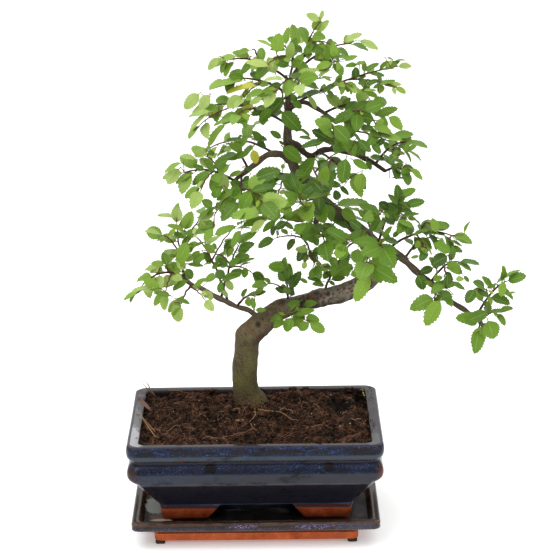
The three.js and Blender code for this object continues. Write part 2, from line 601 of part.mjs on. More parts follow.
// Leaves stand on alternate sides of each shoot, the last one at its end.
// Each turns until it is clear of the wood and of the leaves before it, or is left off.
function growLeaves(shoots, woodClear) {
  const settled = shoots.map((shoot) => ({ shoot, solid: shootSolid(shoot, []) }));
  const leaves = [];
  for (const shoot of shoots) {
    for (let i = 0; i < shoot.leaves; i += 1) {
      const last = i === shoot.leaves - 1;
      const share = last ? lastShare : growth.firstLeaf + growth.leafyPart * i / Math.max(shoot.leaves - 2, 1);
      const toRight = i % 2 === 1;
      const { place, heading } = along(shoot.path, share);
      const length = shoot.leafLength * draw(...growth.length) * (i === 0 ? growth.firstLength : 1);
      const width = length * draw(...growth.width);
      const sideAngle = growth.angle - growth.angleFall * share + draw(...growth.angleSpread);
      const angle = degree * (last ? draw(...growth.endAngle) : sideAngle * (toRight ? 1 : -1));
      const lean = vec(...[1, 1, 1].map(() => draw(-growth.lean, growth.lean)));
      const facing = facingAt(place).add(lean).normalize();
      const direction = heading.clone().multiplyScalar(Math.cos(angle))
        .addScaledVector(rightOf(heading, shoot.side), Math.sin(angle))
        .addScaledVector(up, -draw(...growth.sag)).normalize();
      const normal = facing.clone().addScaledVector(direction, -facing.dot(direction)).normalize();
      const droop = draw(...growth.droop);
      for (const [roll, pitch] of turns) {
        const rolled = normal.clone().applyAxisAngle(direction, roll * degree);
        const tilt = pitch * degree;
        const [cos, sin] = [Math.cos(tilt), Math.sin(tilt)];
        const pointing = direction.clone().multiplyScalar(cos).addScaledVector(rolled, sin);
        const standing = rolled.clone().multiplyScalar(cos).addScaledVector(direction, -sin);
        const leaf = {
          ...makeLeaf(place, pointing, standing, length, width, droop), shoot, share, toRight, last,
        };
        const solid = leafSolid(leaf);
        if (!leaves.some((other) => leavesCross(leaf, other)) && !hitsTwig(leaf, shoots)
          && fits(leaf, solid, leaves, settled, woodClear)) {
          leaves.push(leaf);
          settled.push({ shoot, solid, isLeaf: true });
          break;
        }
      }
    }
  }
  return leaves;
}

// A leaf fits where its solid is clear of the wood, of every leaf and of other sprays' twigs,
// and where the skin of its own shoot doesn't cross itself
function fits(leaf, solid, leaves, settled, woodClear) {
  const { shoot } = leaf;
  const others = settled.filter((other) => other.isLeaf || other.shoot.spray !== shoot.spray);
  if (overlap(solid, woodClear) || others.some((other) => overlap(solid, other.solid))) {
    return false;
  }
  return !crossesItself(shootSolid(shoot, [...leaves.filter((other) => other.shoot === shoot), leaf]));
}

// Half of a blade's toothed margin as [half width share, length share], from stalk to tip
const margins = {
  large: [[0.78, 0.16], [1, 0.42], [0.88, 0.47], [0.78, 0.76]],
  middle: [[0.84, 0.2], [1, 0.5], [0.82, 0.56]],
  small: [[0.9, 0.24], [0.94, 0.62]],
};
const marginFor = (length) => margins[length > 15 ? 'large' : (length > 10 ? 'middle' : 'small')];

// Points of a blade: the rim from its right base round the tip to its left base, and the
// midrib points on the upper and the lower face
function bladePoints(leaf) {
  const { base, direction, normal, side, length, width, droop } = leaf;
  const margin = marginFor(length);
  const place = (across, share, lift) => base.clone()
    .addScaledVector(side, across * width / 2)
    .addScaledVector(direction, petiole + share * length)
    .addScaledVector(normal, leafHeight(across, share, width, length, droop) + lift);
  return [
    ...margin.map(([half, share]) => place(half, share, 0)),
    place(0, 1, 0),
    ...[...margin].reverse().map(([half, share]) => place(-half, share, 0)),
    place(0, midribShare, bladeThickness / 2),
    place(0, midribShare, -bladeThickness / 2),
  ];
}

// Both faces of a blade as fans about its midrib points, and the open loop at its base
function bladeFaces(first, count) {
  const [upper, lower] = [first + count - 2, first + count - 1];
  const end = upper - 1;
  const triangles = [];
  for (let i = first; i < end; i += 1) {
    triangles.push(i, i + 1, upper, i + 1, i, lower);
  }
  return { triangles, loop: [first, lower, end, upper] };
}

// Triangles between a base of three points and a loop of four, the way with the shortest edges
function neckFaces(points, base, loop) {
  let best = { cost: Infinity };
  for (let turn = 0; turn < base.length * loop.length; turn += 1) {
    const triangles = [];
    let cost = 0;
    let [i, j] = [0, 0];
    const a = (k) => base[(k + turn) % base.length];
    const b = (k) => loop[(k + Math.floor(turn / base.length)) % loop.length];
    while (i < base.length || j < loop.length) {
      if (j === loop.length || (i + 0.5) / base.length < (j + 0.5) / loop.length) {
        triangles.push(a(i), a(i + 1), b(j));
        i += 1;
      } else {
        triangles.push(a(i), b(j + 1), b(j));
        j += 1;
      }
      cost += points[a(i)].distanceTo(points[b(j)]);
    }
    best = cost < best.cost ? { cost, triangles } : best;
  }
  return best.triangles;
}

// Three-sided twig in one skin with its leaves: each leaf grows out of a small triangle
// on the twig's right or left face, and the last one out of the twig's end.
function shootSolid(shoot, leaves) {
  const reach = vec(...shoot.path[0].slice(0, 3)).distanceTo(vec(...shoot.path.at(-1).slice(0, 3)));
  const points = [];
  const triangles = [];
  const onTwig = (share, angle, shrink = 1) => {
    const { place, radius, heading } = along(shoot.path, share);
    const right = rightOf(heading, shoot.side);
    const top = right.clone().cross(heading);
    return place
      .addScaledVector(right, radius * shrink * Math.cos(angle))
      .addScaledVector(top, radius * shrink * Math.sin(angle));
  };
  const ringAt = (share) => {
    points.push(...[30, -90, -210].map((degrees) => onTwig(share, degrees * degree)));
    return [points.length - 3, points.length - 2, points.length - 1];
  };
  const addLeaf = (leaf, base) => {
    const blade = bladePoints(leaf);
    const { triangles: faces, loop } = bladeFaces(points.length, blade.length);
    points.push(...blade);
    triangles.push(...faces, ...neckFaces(points, base, loop));
  };
  const end = leaves.find((leaf) => leaf.last);
  const stations = [{ share: 0, leaf: null }];
  const addStation = (share, leaf) => {
    const from = stations.at(-1).share;
    const steps = Math.ceil((share - from) / longestStep);
    for (let i = 1; i < steps; i += 1) {
      stations.push({ share: from + (share - from) * i / steps, leaf: null });
    }
    stations.push({ share, leaf });
  };
  leaves.filter((leaf) => !leaf.last).forEach((leaf) => addStation(leaf.share - seatHalf / reach, leaf));
  addStation(lastShare, null);
  let ring = ringAt(0);
  triangles.push(ring[0], ring[2], ring[1]);
  for (let k = 1; k < stations.length; k += 1) {
    const { leaf } = stations[k - 1];
    const next = ringAt(stations[k].share);
    for (let j = 0; j < 3; j += 1) {
      const [a, b, c, d] = [ring[j], ring[(j + 1) % 3], next[j], next[(j + 1) % 3]];
      if (leaf !== null && j === (leaf.toRight ? 0 : 1)) {
        const e = points.length;
        points.push(onTwig(leaf.share + seatHalf / reach, (leaf.toRight ? -30 : -150) * degree, 0.5));
        triangles.push(b, d, e, d, c, e, c, a, e);
        addLeaf(leaf, [a, b, e]);
      } else {
        triangles.push(a, b, c, b, d, c);
      }
    }
    ring = next;
  }
  if (end) {
    addLeaf(end, ring);
  } else {
    triangles.push(...ring);
  }
  return solidOf(points, triangles);
}

// A leaf by itself, on a short length of its twig
function leafSolid(leaf) {
  const path = [leaf.share - 0.02, leaf.share].map((share) => {
    const { place, radius } = along(leaf.shoot.path, share);
    return [place.x, place.y, place.z, radius];
  });
  return shootSolid({ ...leaf.shoot, path }, [{ ...leaf, last: true }]);
}

const boxesMeet = (a, b) => [0, 1, 2].every((k) => a.min[k] < b.max[k] && b.min[k] < a.max[k]);
const overlap = (a, b) => boxesMeet(a.boundingBox(), b.boundingBox()) && !a.intersect(b).isEmpty();

// Whether two faces of a body cross somewhere other than at a shared corner
function crossesItself(solid) {
  const { vertProperties, triVerts } = solid.getMesh();
  const corner = (i) => vec(...vertProperties.slice(3 * i, 3 * i + 3));
  const faces = [];
  for (let i = 0; i < triVerts.length; i += 3) {
    const ids = Array.from(triVerts.slice(i, i + 3));
    const points = ids.map(corner);
    const box = new THREE.Box3().setFromPoints(points);
    faces.push({ ids, points, min: box.min.toArray(), max: box.max.toArray() });
  }
  const ray = new THREE.Ray();
  const hit = vec();
  const pierces = (a, b) => [0, 1, 2].some((i) => {
    const j = (i + 1) % 3;
    if (b.ids.includes(a.ids[i]) || b.ids.includes(a.ids[j])) {
      return false;
    }
    ray.origin.copy(a.points[i]);
    ray.direction.copy(a.points[j]).sub(a.points[i]).normalize();
    const reach = a.points[i].distanceTo(a.points[j]);
    return ray.intersectTriangle(...b.points, false, hit) !== null && hit.distanceTo(a.points[i]) <= reach;
  });
  const cross = (a, b) => boxesMeet(a, b) && (pierces(a, b) || pierces(b, a));
  return faces.some((a, i) => faces.slice(i + 1).some((b) => cross(a, b)));
}

// One solid for each spray: its shoots fused, and cut clear of the limb that it grows from
function makeSprays(woodClear) {
  const shoots = growShoots();
  const leaves = growLeaves(shoots, woodClear);
  const solids = {};
  for (const spray of Object.keys(sprays)) {
    const grown = shoots.filter((shoot) => shoot.spray === spray)
      .map((shoot) => shootSolid(shoot, leaves.filter((leaf) => leaf.shoot === shoot)));
    const bodies = wasm.Manifold.union(grown).subtract(woodClear).decompose();
    solids[spray] = bodies.reduce((largest, body) => (body.volume() > largest.volume() ? body : largest))
      .simplify(weld);
  }
  return solids;
}

const wood = makeWood();
const woodClear = makeWood(gap);
const nettings = { left: makeNetting(-drainHole.x), right: makeNetting(drainHole.x) };

const pocket = (x) => {
  const block = new THREE.BoxGeometry(
    2 * (meshSheet.half + gap), 2 * (meshSheet.half + gap), 2 * (meshSheet.thickness + 2 * gap),
  );
  block.translate(x, 0, potFloor + floorThickness);
  return solidFromGeometry(block);
};

const tree = new THREE.Group();
tree.add(meshOf(wood, 'trunk_and_limbs', finish.bark));
for (const [name, solid] of Object.entries(makeSprays(woodClear))) {
  tree.add(meshOf(solid, name, finish.leaf));
}

const planter = new THREE.Group();
planter.add(meshOf(makePot(), 'pot', finish.glaze));
planter.add(meshOf(makeSoil([woodClear, pocket(-drainHole.x), pocket(drainHole.x)]), 'soil', finish.soil));
for (const [side, solid] of Object.entries(nettings)) {
  planter.add(meshOf(solid, `drain_netting_${side}`, finish.netting));
}
planter.add(meshOf(makeTray(), 'drip_tray', finish.trayGlaze));
for (const [end, y] of [['front', -padPlace[1]], ['rear', padPlace[1]]]) {
  for (const [side, x] of [['left', -padPlace[0]], ['right', padPlace[0]]]) {
    planter.add(meshOf(makePad(x, y), `tray_pad_${end}_${side}`, finish.rubber));
  }
}

// The origin is under the middle of the whole plant's bounding box
const bonsai = new THREE.Group();
bonsai.add(tree, planter);
bonsai.updateMatrixWorld(true);
const extent = new THREE.Box3().setFromObject(bonsai, true);
bonsai.position.set(-(extent.min.x + extent.max.x) / 2, -(extent.min.y + extent.max.y) / 2, 0);

export default bonsai;
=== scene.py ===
import math

import bmesh
import bpy
import numpy as np
from mathutils import Matrix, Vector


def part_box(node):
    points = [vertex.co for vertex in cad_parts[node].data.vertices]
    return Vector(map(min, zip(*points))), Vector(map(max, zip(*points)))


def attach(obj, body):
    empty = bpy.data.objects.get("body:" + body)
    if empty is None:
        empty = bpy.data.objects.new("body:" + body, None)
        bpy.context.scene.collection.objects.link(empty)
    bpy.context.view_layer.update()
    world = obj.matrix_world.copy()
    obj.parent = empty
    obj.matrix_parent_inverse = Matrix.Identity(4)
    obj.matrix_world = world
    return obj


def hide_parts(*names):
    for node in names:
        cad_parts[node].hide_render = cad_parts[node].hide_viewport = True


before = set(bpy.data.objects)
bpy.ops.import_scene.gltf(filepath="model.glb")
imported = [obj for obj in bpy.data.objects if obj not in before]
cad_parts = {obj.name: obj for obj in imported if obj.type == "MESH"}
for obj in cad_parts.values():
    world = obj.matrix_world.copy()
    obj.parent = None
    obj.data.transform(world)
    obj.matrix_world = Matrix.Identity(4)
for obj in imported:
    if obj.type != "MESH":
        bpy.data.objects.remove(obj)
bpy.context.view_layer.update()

# A zelkova bonsai in a glazed pot on a drip tray. Shapes are worked out in millimetres from the
# middle of the pot, with z = 0 on the table, and are moved into the frame when a mesh is made.
potLow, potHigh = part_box("pot")
potMiddle = np.array([(potLow.x + potHigh.x) / 2, (potLow.y + potHigh.y) / 2, 0.0])
sprayNodes = sorted(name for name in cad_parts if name.startswith("spray_"))
upward = np.array([0, 0, 1.0])
dice = np.random.default_rng(52)


# Arrays and meshes

def unit(v):
    return v / np.maximum(np.linalg.norm(v, axis=-1, keepdims=True), 1e-9)


def smoothStep(x, low, high):      # 0 below low, 1 above high, 3t^2 - 2t^3 between
    t = np.clip((x - low) / (high - low), 0, 1)
    return t * t * (3 - 2 * t)


def between(a, b, t):      # a at t = 0, b at t = 1
    return a * (1 - t) + b * t


def gapTo(points, middle):      # how far each point is from middle
    return np.linalg.norm(points - np.array(middle), axis=-1)


def squareTo(v, axis):      # the direction of v once its part along axis is taken off
    return unit(v - axis * np.sum(v * axis, -1, keepdims=True))


def wayAt(angle):      # the flat direction at an angle from x
    return np.stack([np.cos(angle), np.sin(angle)], -1)


def draw(limits, count):      # random values between two limits
    return dice.uniform(*limits, count)


# Smooth random field from -1 to 1: random values on a lattice of that spacing, blended by
# 3t^2 - 2t^3 along each axis
def fieldAt(points, spacing, seed=0):
    q = np.asarray(points, float) / spacing
    cell = np.floor(q).astype(np.int64)
    f = q - cell
    f = f * f * (3 - 2 * f)
    total = np.zeros(q.shape[:-1])
    for corner in range(8):
        step = np.array([corner & 1, corner >> 1 & 1, corner >> 2 & 1])
        at = cell + step
        mixed = at[..., 0] * 73856093 ^ at[..., 1] * 19349663 ^ at[..., 2] * 83492791 ^ (seed * 40503 + 977)
        mixed = (mixed ^ (mixed >> 13)) * 1274126177 & 0x7FFFFFFF
        mixed = (mixed ^ (mixed >> 15)) * 668265263 & 0x7FFFFFFF
        value = (mixed >> 7 & 0xFFFF) / 32767.5 - 1
        total += value * np.prod(np.where(step == 1, f, 1 - f), axis=-1)
    return total


def roughField(points, spacing, octaves, seed=0):      # sum of fields, each half the size and height
    return sum(fieldAt(points, spacing / 2 ** k, seed + k) / 2 ** k for k in range(octaves))


# Quads between rows of points: row r, column c is point r * columns + c
def gridFaces(rows, columns, closed=False):
    r, c = np.meshgrid(np.arange(rows - 1), np.arange(columns if closed else columns - 1), indexing="ij")
    a = r * columns + c
    b = r * columns + (c + 1) % columns
    return np.stack([a, b, b + columns, a + columns], -1).reshape(-1, 4)


def gridRim(rows, columns):      # the outer points of such a grid, in order round it
    return np.concatenate([np.arange(columns), np.arange(1, rows) * columns + columns - 1,
                           np.arange(columns - 2, -1, -1) + (rows - 1) * columns,
                           np.arange(rows - 2, 0, -1) * columns])


def fanFaces(ring, centre, flip=False):      # triangles from a ring of points to one point
    after = np.roll(ring, -1)
    fan = np.stack([ring, after, np.full(len(ring), centre)], -1)
    return fan[:, ::-1] if flip else fan


# Several closed skins as one, each given by its points, its blocks of faces and its extras
def joined(skins):
    firsts = np.cumsum([0] + [len(points) for points, _, _ in skins])
    faces = [block + first for (_, blocks, _), first in zip(skins, firsts) for block in blocks]
    extras = {key: np.concatenate([extras[key] for _, _, extras in skins]) for key in skins[0][2]}
    return np.concatenate([points for points, _, _ in skins]), faces, extras


# One mesh from points in millimetres and blocks of faces with equal numbers of corners. Extras with two
# columns become UV maps, the others attributes of the points.
def makePiece(name, points, faces, extras, materials, slotName,
              materialOf=None, smooth=True, creases=None):
    mesh = bpy.data.meshes.new(name)
    placed = points / 1000 + potMiddle
    corners = np.concatenate([block.ravel() for block in faces]).astype(np.int32)
    sizes = np.concatenate([np.full(len(block), block.shape[1]) for block in faces])
    starts = np.concatenate([[0], np.cumsum(sizes)[:-1]]).astype(np.int32)
    mesh.vertices.add(len(placed))
    mesh.vertices.foreach_set("co", placed.ravel())
    mesh.loops.add(len(corners))
    mesh.loops.foreach_set("vertex_index", corners)
    mesh.polygons.add(len(sizes))
    mesh.polygons.foreach_set("loop_start", starts)
    mesh.update(calc_edges=True)
    mesh.polygons.foreach_set("use_smooth", np.full(len(sizes), smooth))
    if materialOf is not None:
        mesh.polygons.foreach_set("material_index", np.asarray(materialOf, np.int32))
    for key, values in extras.items():
        if values.ndim == 2:
            layer = mesh.uv_layers.new(name=key)
            layer.data.foreach_set("uv", values[corners].astype(np.float32).ravel())
        else:
            layer = mesh.attributes.new(key, "FLOAT", "POINT")
            layer.data.foreach_set("value", values.astype(np.float32))
    if creases is not None:      # pairs of neighbouring points: the edges between them stay sharp
        ends = np.empty(len(mesh.edges) * 2, np.int32)
        mesh.edges.foreach_get("vertices", ends)
        sharp = creases[ends[::2]] & creases[ends[1::2]]
        mesh.attributes.new("sharp_edge", "BOOLEAN", "EDGE").data.foreach_set("value", sharp)
    mesh.validate()
    piece = bpy.data.objects.new(name, mesh)
    bpy.context.collection.objects.link(piece)
    for material in materials if isinstance(materials, (list, tuple)) else [materials]:
        mesh.materials.append(material)
    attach(piece, "root")
    return piece


# Place along a path of rows at t = 0..1: uniform Catmull-Rom through every row
def onPath(path, t):
    path = np.asarray(path, float)
    last = len(path) - 1
    at = np.clip(t, 0, 1) * last
    i = np.minimum(np.floor(at).astype(int), last - 1)
    f = (at - i)[:, None]
    a, b, c, d = path[np.maximum(i - 1, 0)], path[i], path[i + 1], path[np.minimum(i + 2, last)]
    bent = (2 * a - 5 * b + 4 * c - d) * f ** 2 + (3 * b - a - 3 * c + d) * f ** 3
    return 0.5 * (2 * b + (c - a) * f + bent)


# Side directions along one line of points, carried from each ring to the next so they don't twist
def carriedSides(line):
    heading = unit(np.gradient(line, axis=0))
    side = np.zeros_like(line)
    carried = np.array([1.0, 0, 0]) if abs(heading[0, 2]) > 0.8 else np.array([0, 0, 1.0])
    for k in range(len(line)):
        carried = carried - heading[k] * (carried @ heading[k])
        carried /= np.linalg.norm(carried)
        side[k] = carried
    return heading, side, np.cross(heading, side)


# Many thin tubes at once: lines (tube, ring, 3) and radii (tube, ring), each ring a circle about its line
def manyTubes(lines, radii, sides):
    heading = unit(np.gradient(lines, axis=1))
    chord = unit(lines[:, -1] - lines[:, 0])
    least = np.eye(3)[np.argmin(np.abs(chord), axis=1)]
    side = squareTo(least[:, None], heading)
    other = np.cross(heading, side)
    angle = np.arange(sides) * 2 * math.pi / sides
    ring = side[:, :, None] * np.cos(angle)[:, None] + other[:, :, None] * np.sin(angle)[:, None]
    return lines[:, :, None] + ring * radii[:, :, None, None]


def tubeFaces(tubes, rings, sides):      # skins of equal tubes, closed by one face at each end
    one = gridFaces(rings, sides, closed=True)
    offsets = (np.arange(tubes) * rings * sides)[:, None, None]
    ends = np.stack([np.arange(sides)[::-1], np.arange(sides) + (rings - 1) * sides])
    return [(one + offsets).reshape(-1, 4), (ends + offsets).reshape(-1, sides)]


# Where the photograph was taken from, in millimetres from the middle of the pot, and its lens in pixels
cameraLook = {
    "focal": 2371.0, "width": 553, "down": 15.88, "yaw": 0.1, "roll": 0.62, "place": (15.0, -1794.7, 710.5),
}


def cameraAxes(look):      # right, below and forward
    down, yaw, roll = (math.radians(look[key]) for key in ("down", "yaw", "roll"))
    forward = np.array([math.sin(yaw) * math.cos(down), math.cos(yaw) * math.cos(down), -math.sin(down)])
    level = np.array([math.cos(yaw), -math.sin(yaw), 0])
    lower = np.cross(forward, level)
    right = math.cos(roll) * level + math.sin(roll) * lower
    below = math.cos(roll) * lower - math.sin(roll) * level
    return right, below, forward


def pixelsOf(points):      # where points appear in the photograph
    right, below, forward = cameraAxes(cameraLook)
    away = points - np.array(cameraLook["place"])
    scale = cameraLook["focal"] / (away @ forward)
    return np.stack([away @ right * scale, away @ below * scale], -1) + cameraLook["width"] / 2


def seenAt(pixels, depth):      # the point behind a pixel on the upright plane y = depth
    right, below, forward = cameraAxes(cameraLook)
    offset = (pixels - cameraLook["width"] / 2) / cameraLook["focal"]
    ray = forward + right * offset[:, :1] + below * offset[:, 1:]
    return np.array(cameraLook["place"]) + ray * ((depth - cameraLook["place"][1]) / ray[:, 1])[:, None]


print("scene: frame loaded, pot middle at", potMiddle.round(4).tolist())


# Shaders

def linear(colour):      # red, green and blue read off a screen, 0 to 255, as Blender wants them
    return tuple(((c / 255 + 0.055) / 1.055) ** 2.4 if c > 10 else c / 255 / 12.92 for c in colour) + (1.0,)


# A socket that can be used in sums: an expression adds its Math nodes
class Wire:
    def __init__(self, paint, socket):
        self.paint = paint
        self.socket = socket

    def math(self, operation, first, second=0.0, clamp=False):
        settings = {"operation": operation, "use_clamp": clamp}
        return self.paint.add("ShaderNodeMath", settings, {0: first, 1: second})

    def clip(self):
        return self.math("ADD", self, 0.0, clamp=True)

    def size(self):
        return self.math("ABSOLUTE", self)

    def cycle(self):
        return self.math("FRACT", self)

    def below(self, other):
        return self.math("LESS_THAN", self, other)

    def step(self, low, high):      # 0 below low, 1 above high; falls where low is above high
        return self.paint.add("ShaderNodeMapRange", {"interpolation_type": "SMOOTHSTEP"},
                              {"Value": self, "From Min": low, "From Max": high})


for sign, operation in [("add", "ADD"), ("sub", "SUBTRACT"), ("mul", "MULTIPLY"), ("truediv", "DIVIDE"),
                        ("pow", "POWER")]:
    setattr(Wire, f"__{sign}__", lambda wire, other, operation=operation: wire.math(operation, wire, other))
    setattr(Wire, f"__r{sign}__", lambda wire, other, operation=operation: wire.math(operation, other, wire))


# A Principled material in the making. Colours are given as they read on a screen, and wash lays a tint
# over the colour so far where its factor is 1.
class Paint:
    def __init__(self, name, **fixed):
        self.material = bpy.data.materials.new(name)
        self.material.use_nodes = True
        self.nodes = self.material.node_tree.nodes
        self.links = self.material.node_tree.links
        self.shader = self.nodes["Principled BSDF"]
        for key, value in fixed.items():
            self.shader.inputs[key.replace("_", " ")].default_value = value
        self.place = self.add("ShaderNodeTexCoord", output="Object")

    def add(self, kind, settings=None, values=None, output=0):
        node = self.nodes.new(kind)
        for key, value in (settings or {}).items():
            if key == "stops":
                while len(node.color_ramp.elements) < len(value):
                    node.color_ramp.elements.new(1.0)
                for element, (at, colour) in zip(node.color_ramp.elements, value):
                    element.position = at
                    element.color = colour
            else:
                setattr(node, key, value)
        for key, value in (values or {}).items():
            if isinstance(value, Wire):
                self.links.new(value.socket, node.inputs[key])
            else:
                node.inputs[key].default_value = value
        return Wire(self, node.outputs[output])

    def axis(self, which, vector=None):
        return self.add("ShaderNodeSeparateXYZ", None, {0: vector or self.place}, output=which)

    def stretched(self, vector, x, y, z):
        return self.add("ShaderNodeMapping", None, {"Vector": vector, "Scale": (x, y, z)})

    def noise(self, scale, detail=3.0, roughness=0.5, vector=None):
        return self.add("ShaderNodeTexNoise", None, {
            "Vector": vector or self.place, "Scale": scale, "Detail": detail, "Roughness": roughness})

    def streaks(self, vector, x, y, z, detail, roughness):      # noise, finer along an axis as it is larger
        return self.noise(1.0, detail, roughness, self.stretched(vector, x, y, z))

    def cells(self, scale, vector=None):      # distance to the nearest of scattered points
        return self.add("ShaderNodeTexVoronoi", None, {"Vector": vector or self.place, "Scale": scale})

    def attribute(self, name):
        return self.add("ShaderNodeAttribute", {"attribute_name": name}, output="Fac")

    def uv(self, name):
        return self.add("ShaderNodeUVMap", {"uv_map": name})

    def ramp(self, value, *stops):
        stops = [(at, linear(colour)) for at, colour in stops]
        return self.add("ShaderNodeValToRGB", {"stops": stops}, {0: value}, output="Color")

    def blend(self, factor, first, second):
        first, second = (c if isinstance(c, Wire) else linear(c) for c in (first, second))
        values = {0: factor, 6: first, 7: second}
        return self.add("ShaderNodeMix", {"data_type": "RGBA", "blend_type": "MIX"}, values, output=2)

    def wash(self, factor, tint):
        self.colour = self.blend(factor, self.colour, tint)

    def finish(self, height, distance, strength, **wires):      # colour, relief of that height, and the rest
        values = {"Height": height, "Distance": distance, "Strength": strength}
        normal = self.add("ShaderNodeBump", None, values, output="Normal")
        for key, wire in dict(wires, Base_Color=self.colour, Normal=normal).items():
            self.links.new(wire.socket, self.shader.inputs[key.replace("_", " ")])
        return self.material


# Bark: ramps of plates, blotches, grain and wrinkles in noise, dark below .4 and pale past .6. Over them lie
# rust pores set across the limb, moss and a green film that fade with height, soil on the lowest part, pale
# lines, dark crevices and creases, a dark crust with painted shade under each limb and low on the trunk's
# right side, dark knots and a wire's scar. barkWay holds the way round and the way along in centimetres.
def makeBark():
    p = Paint("greyBark", Roughness=0.8, Specular_IOR_Level=0.25)
    way = p.uv("barkWay")
    height = p.axis("Z") * 1000
    blotch = p.noise(70, 5, 0.6)
    grain = p.noise(520, 4, 0.7)
    plates = p.streaks(way, 4.4, 5.4, 1, 5, 0.65)
    wrinkle = p.streaks(way, 3.2, 17, 1, 5, 0.7)
    mixed = plates * 0.25 + blotch * 0.3 + grain * 0.15 + wrinkle * 0.3
    p.colour = p.ramp(mixed, (0.38, (50, 40, 30)), (0.46, (86, 73, 52)), (0.55, (112, 98, 74)),
                      (0.68, (142, 130, 102)))
    smoothBark = p.attribute("smoothBark")
    pale = p.ramp(mixed, (0.36, (78, 71, 56)), (0.5, (120, 115, 98)), (0.64, (156, 152, 134)))
    p.wash(smoothBark, pale)
    dots = p.cells(1.0, vector=p.stretched(way, 3.6, 5.2, 1)).step(0.2, 0.1)
    rustPatch = p.noise(90, 4, 0.6).step(0.46, 0.58)
    rust = rustPatch * p.noise(420, 3, 0.7).step(0.48, 0.58) * smoothBark
    pores = (dots * p.noise(110, 2).step(0.4, 0.55) + rust).clip()
    p.wash(pores * (0.3 + smoothBark * 0.65), (88, 45, 28))
    rough = p.noise(44, 4, 0.6).step(0.52, 0.66) * grain.step(0.38, 0.6) * smoothBark
    p.wash(rough * 0.6, (88, 62, 46))
    mossSpots = (p.noise(300, 4, 0.7) * 0.6 + grain * 0.4).step(0.48, 0.56) * p.noise(34, 3).step(0.34, 0.54)
    p.wash(mossSpots * height.step(156, 88) * 0.9, (92, 100, 26))
    film = height.step(162, 120) * (blotch.step(0.42, 0.58) * 0.24 + 0.04)
    p.wash(film, (92, 96, 40))
    p.wash(height.step(112, 84) * 0.4, (72, 68, 32))
    soiled = height.step(100, 87) * p.noise(240, 4, 0.65).step(0.26, 0.52)
    p.wash(soiled * 0.85, p.blend(grain.step(0.35, 0.65), (58, 38, 26), (112, 82, 60)))
    line = p.streaks(way, 1.6, 14, 1, 4, 0.6).step(0.63, 0.7)
    p.wash(line * 0.35, (152, 140, 114))
    crevice = p.streaks(way, 7, 11, 1, 6, 0.7).step(0.42, 0.31)
    crease = p.streaks(way, 1.1, 9, 1, 5, 0.6).step(0.36, 0.29)
    p.wash(crevice * (0.42 - smoothBark * 0.2), (40, 30, 22))
    p.wash(crease * 0.5, (52, 40, 30))
    # painted shade with a dark crust: skin that faces down, and the trunk's lower right side, darken through
    # the under attribute
    crustAndShade = p.attribute("under") * (0.45 + p.noise(150, 5, 0.7).step(0.4, 0.56) * 0.5)
    p.wash(crustAndShade, (44, 33, 25))
    p.wash(p.attribute("knotty") * (blotch.step(0.36, 0.56) * 0.6 + 0.35), (48, 31, 24))
    twiggy = p.blend(plates.step(0.3, 0.7), (58, 43, 33), (128, 108, 86))
    p.wash(p.attribute("young") * 0.85, twiggy)
    p.wash(p.attribute("shaded"), p.blend(plates.step(0.35, 0.7), (30, 21, 17), (70, 54, 44)))
    p.wash(p.attribute("scar") * 0.55, (110, 55, 35))
    rings = (p.cells(400) * 0.3 + 0.6).clip()
    p.wash(p.attribute("cut"), p.blend(rings, (86, 64, 44), (128, 100, 72)))
    raised = plates * 0.5 + grain * 0.25 + wrinkle * 0.3 + line * 0.3
    sunken = pores * 0.3 + crevice * 0.7 + crease * 0.5
    return p.finish(raised - sunken, 0.0013, 0.9, Roughness=0.88 - plates * 0.2)


# Twig: smooth young bark, red-brown at the tips, with pale pores
def makeTwigBark():
    p = Paint("twigBark", Roughness=0.6, Specular_IOR_Level=0.3)
    tipward = p.attribute("tipward")
    speck = p.cells(900).step(0.25, 0.12) * 0.4
    grain = p.noise(500, 4, 0.6)
    p.colour = p.blend(tipward, (44, 32, 25), (112, 62, 36))
    p.wash(grain.step(0.4, 0.75) * 0.5, (34, 24, 18))
    p.wash(speck, (128, 104, 80))
    return p.finish(grain + speck, 0.0003, 0.7)


# Leaf: bladeWay holds the way across, 0 to 1 with the midrib at 0.5, and the way along from stalk to tip.
# Side veins run at along * 7.5 - across * (1.5 + 0.9 across), a line wherever that passes a whole number,
# with across 0 at the midrib and 1 at the margin. The tone picks the green, youth turns it yellow.
def makeLeafFace(name, under):
    p = Paint(name, Specular_IOR_Level=0.25 if under else 0.3)
    way = p.uv("bladeWay")
    offset = (p.axis("X", way) - 0.5).size() * 2
    alongWay = p.axis("Y", way)
    tone = p.attribute("tone")
    youth = p.attribute("youth")
    count = alongWay * 7.5 - offset * (1.5 + offset * 0.9)
    toLine = (count.cycle() - 0.5).size() * 2
    vein = toLine.step(0.78, 0.97) * offset.step(1.0, 0.8)
    midrib = offset.step(0.1, 0.03) * alongWay.step(1.02, 0.7)
    mottle = p.noise(160, 4, 0.6)
    fine = p.noise(1400, 3, 0.6)
    if under:
        p.colour = p.blend(tone, (76, 102, 44), (136, 160, 84))
        p.wash(youth, (178, 186, 92))
        p.wash((vein * 0.35 + midrib * 0.5).clip(), (160, 178, 118))
        relief = vein * 0.7 + midrib * 1.4 + fine * 0.15
    else:
        p.colour = p.ramp(tone, (0.0, (28, 50, 10)), (0.3, (56, 92, 16)), (0.6, (91, 131, 23)),
                          (0.85, (127, 162, 50)), (1.0, (166, 189, 104)))
        p.wash(youth, (196, 190, 60))
        p.wash(mottle.step(0.35, 0.75) * 0.25, (106, 140, 36))
        p.wash((vein * 0.14 + midrib * 0.36).clip(), (164, 182, 92))
        p.wash(toLine.step(0.5, 0.0) * 0.14, (40, 72, 12))
        relief = fine * 0.12 - vein * 0.5 - midrib * 1.1 + toLine.step(1.0, 0.2) * 0.4
    p.wash(offset.step(0.92, 1.0) * 0.2, (140, 146, 70))
    return p.finish(relief, 0.0003, 0.7, Roughness=mottle * 0.18 + (0.46 if under else 0.3))
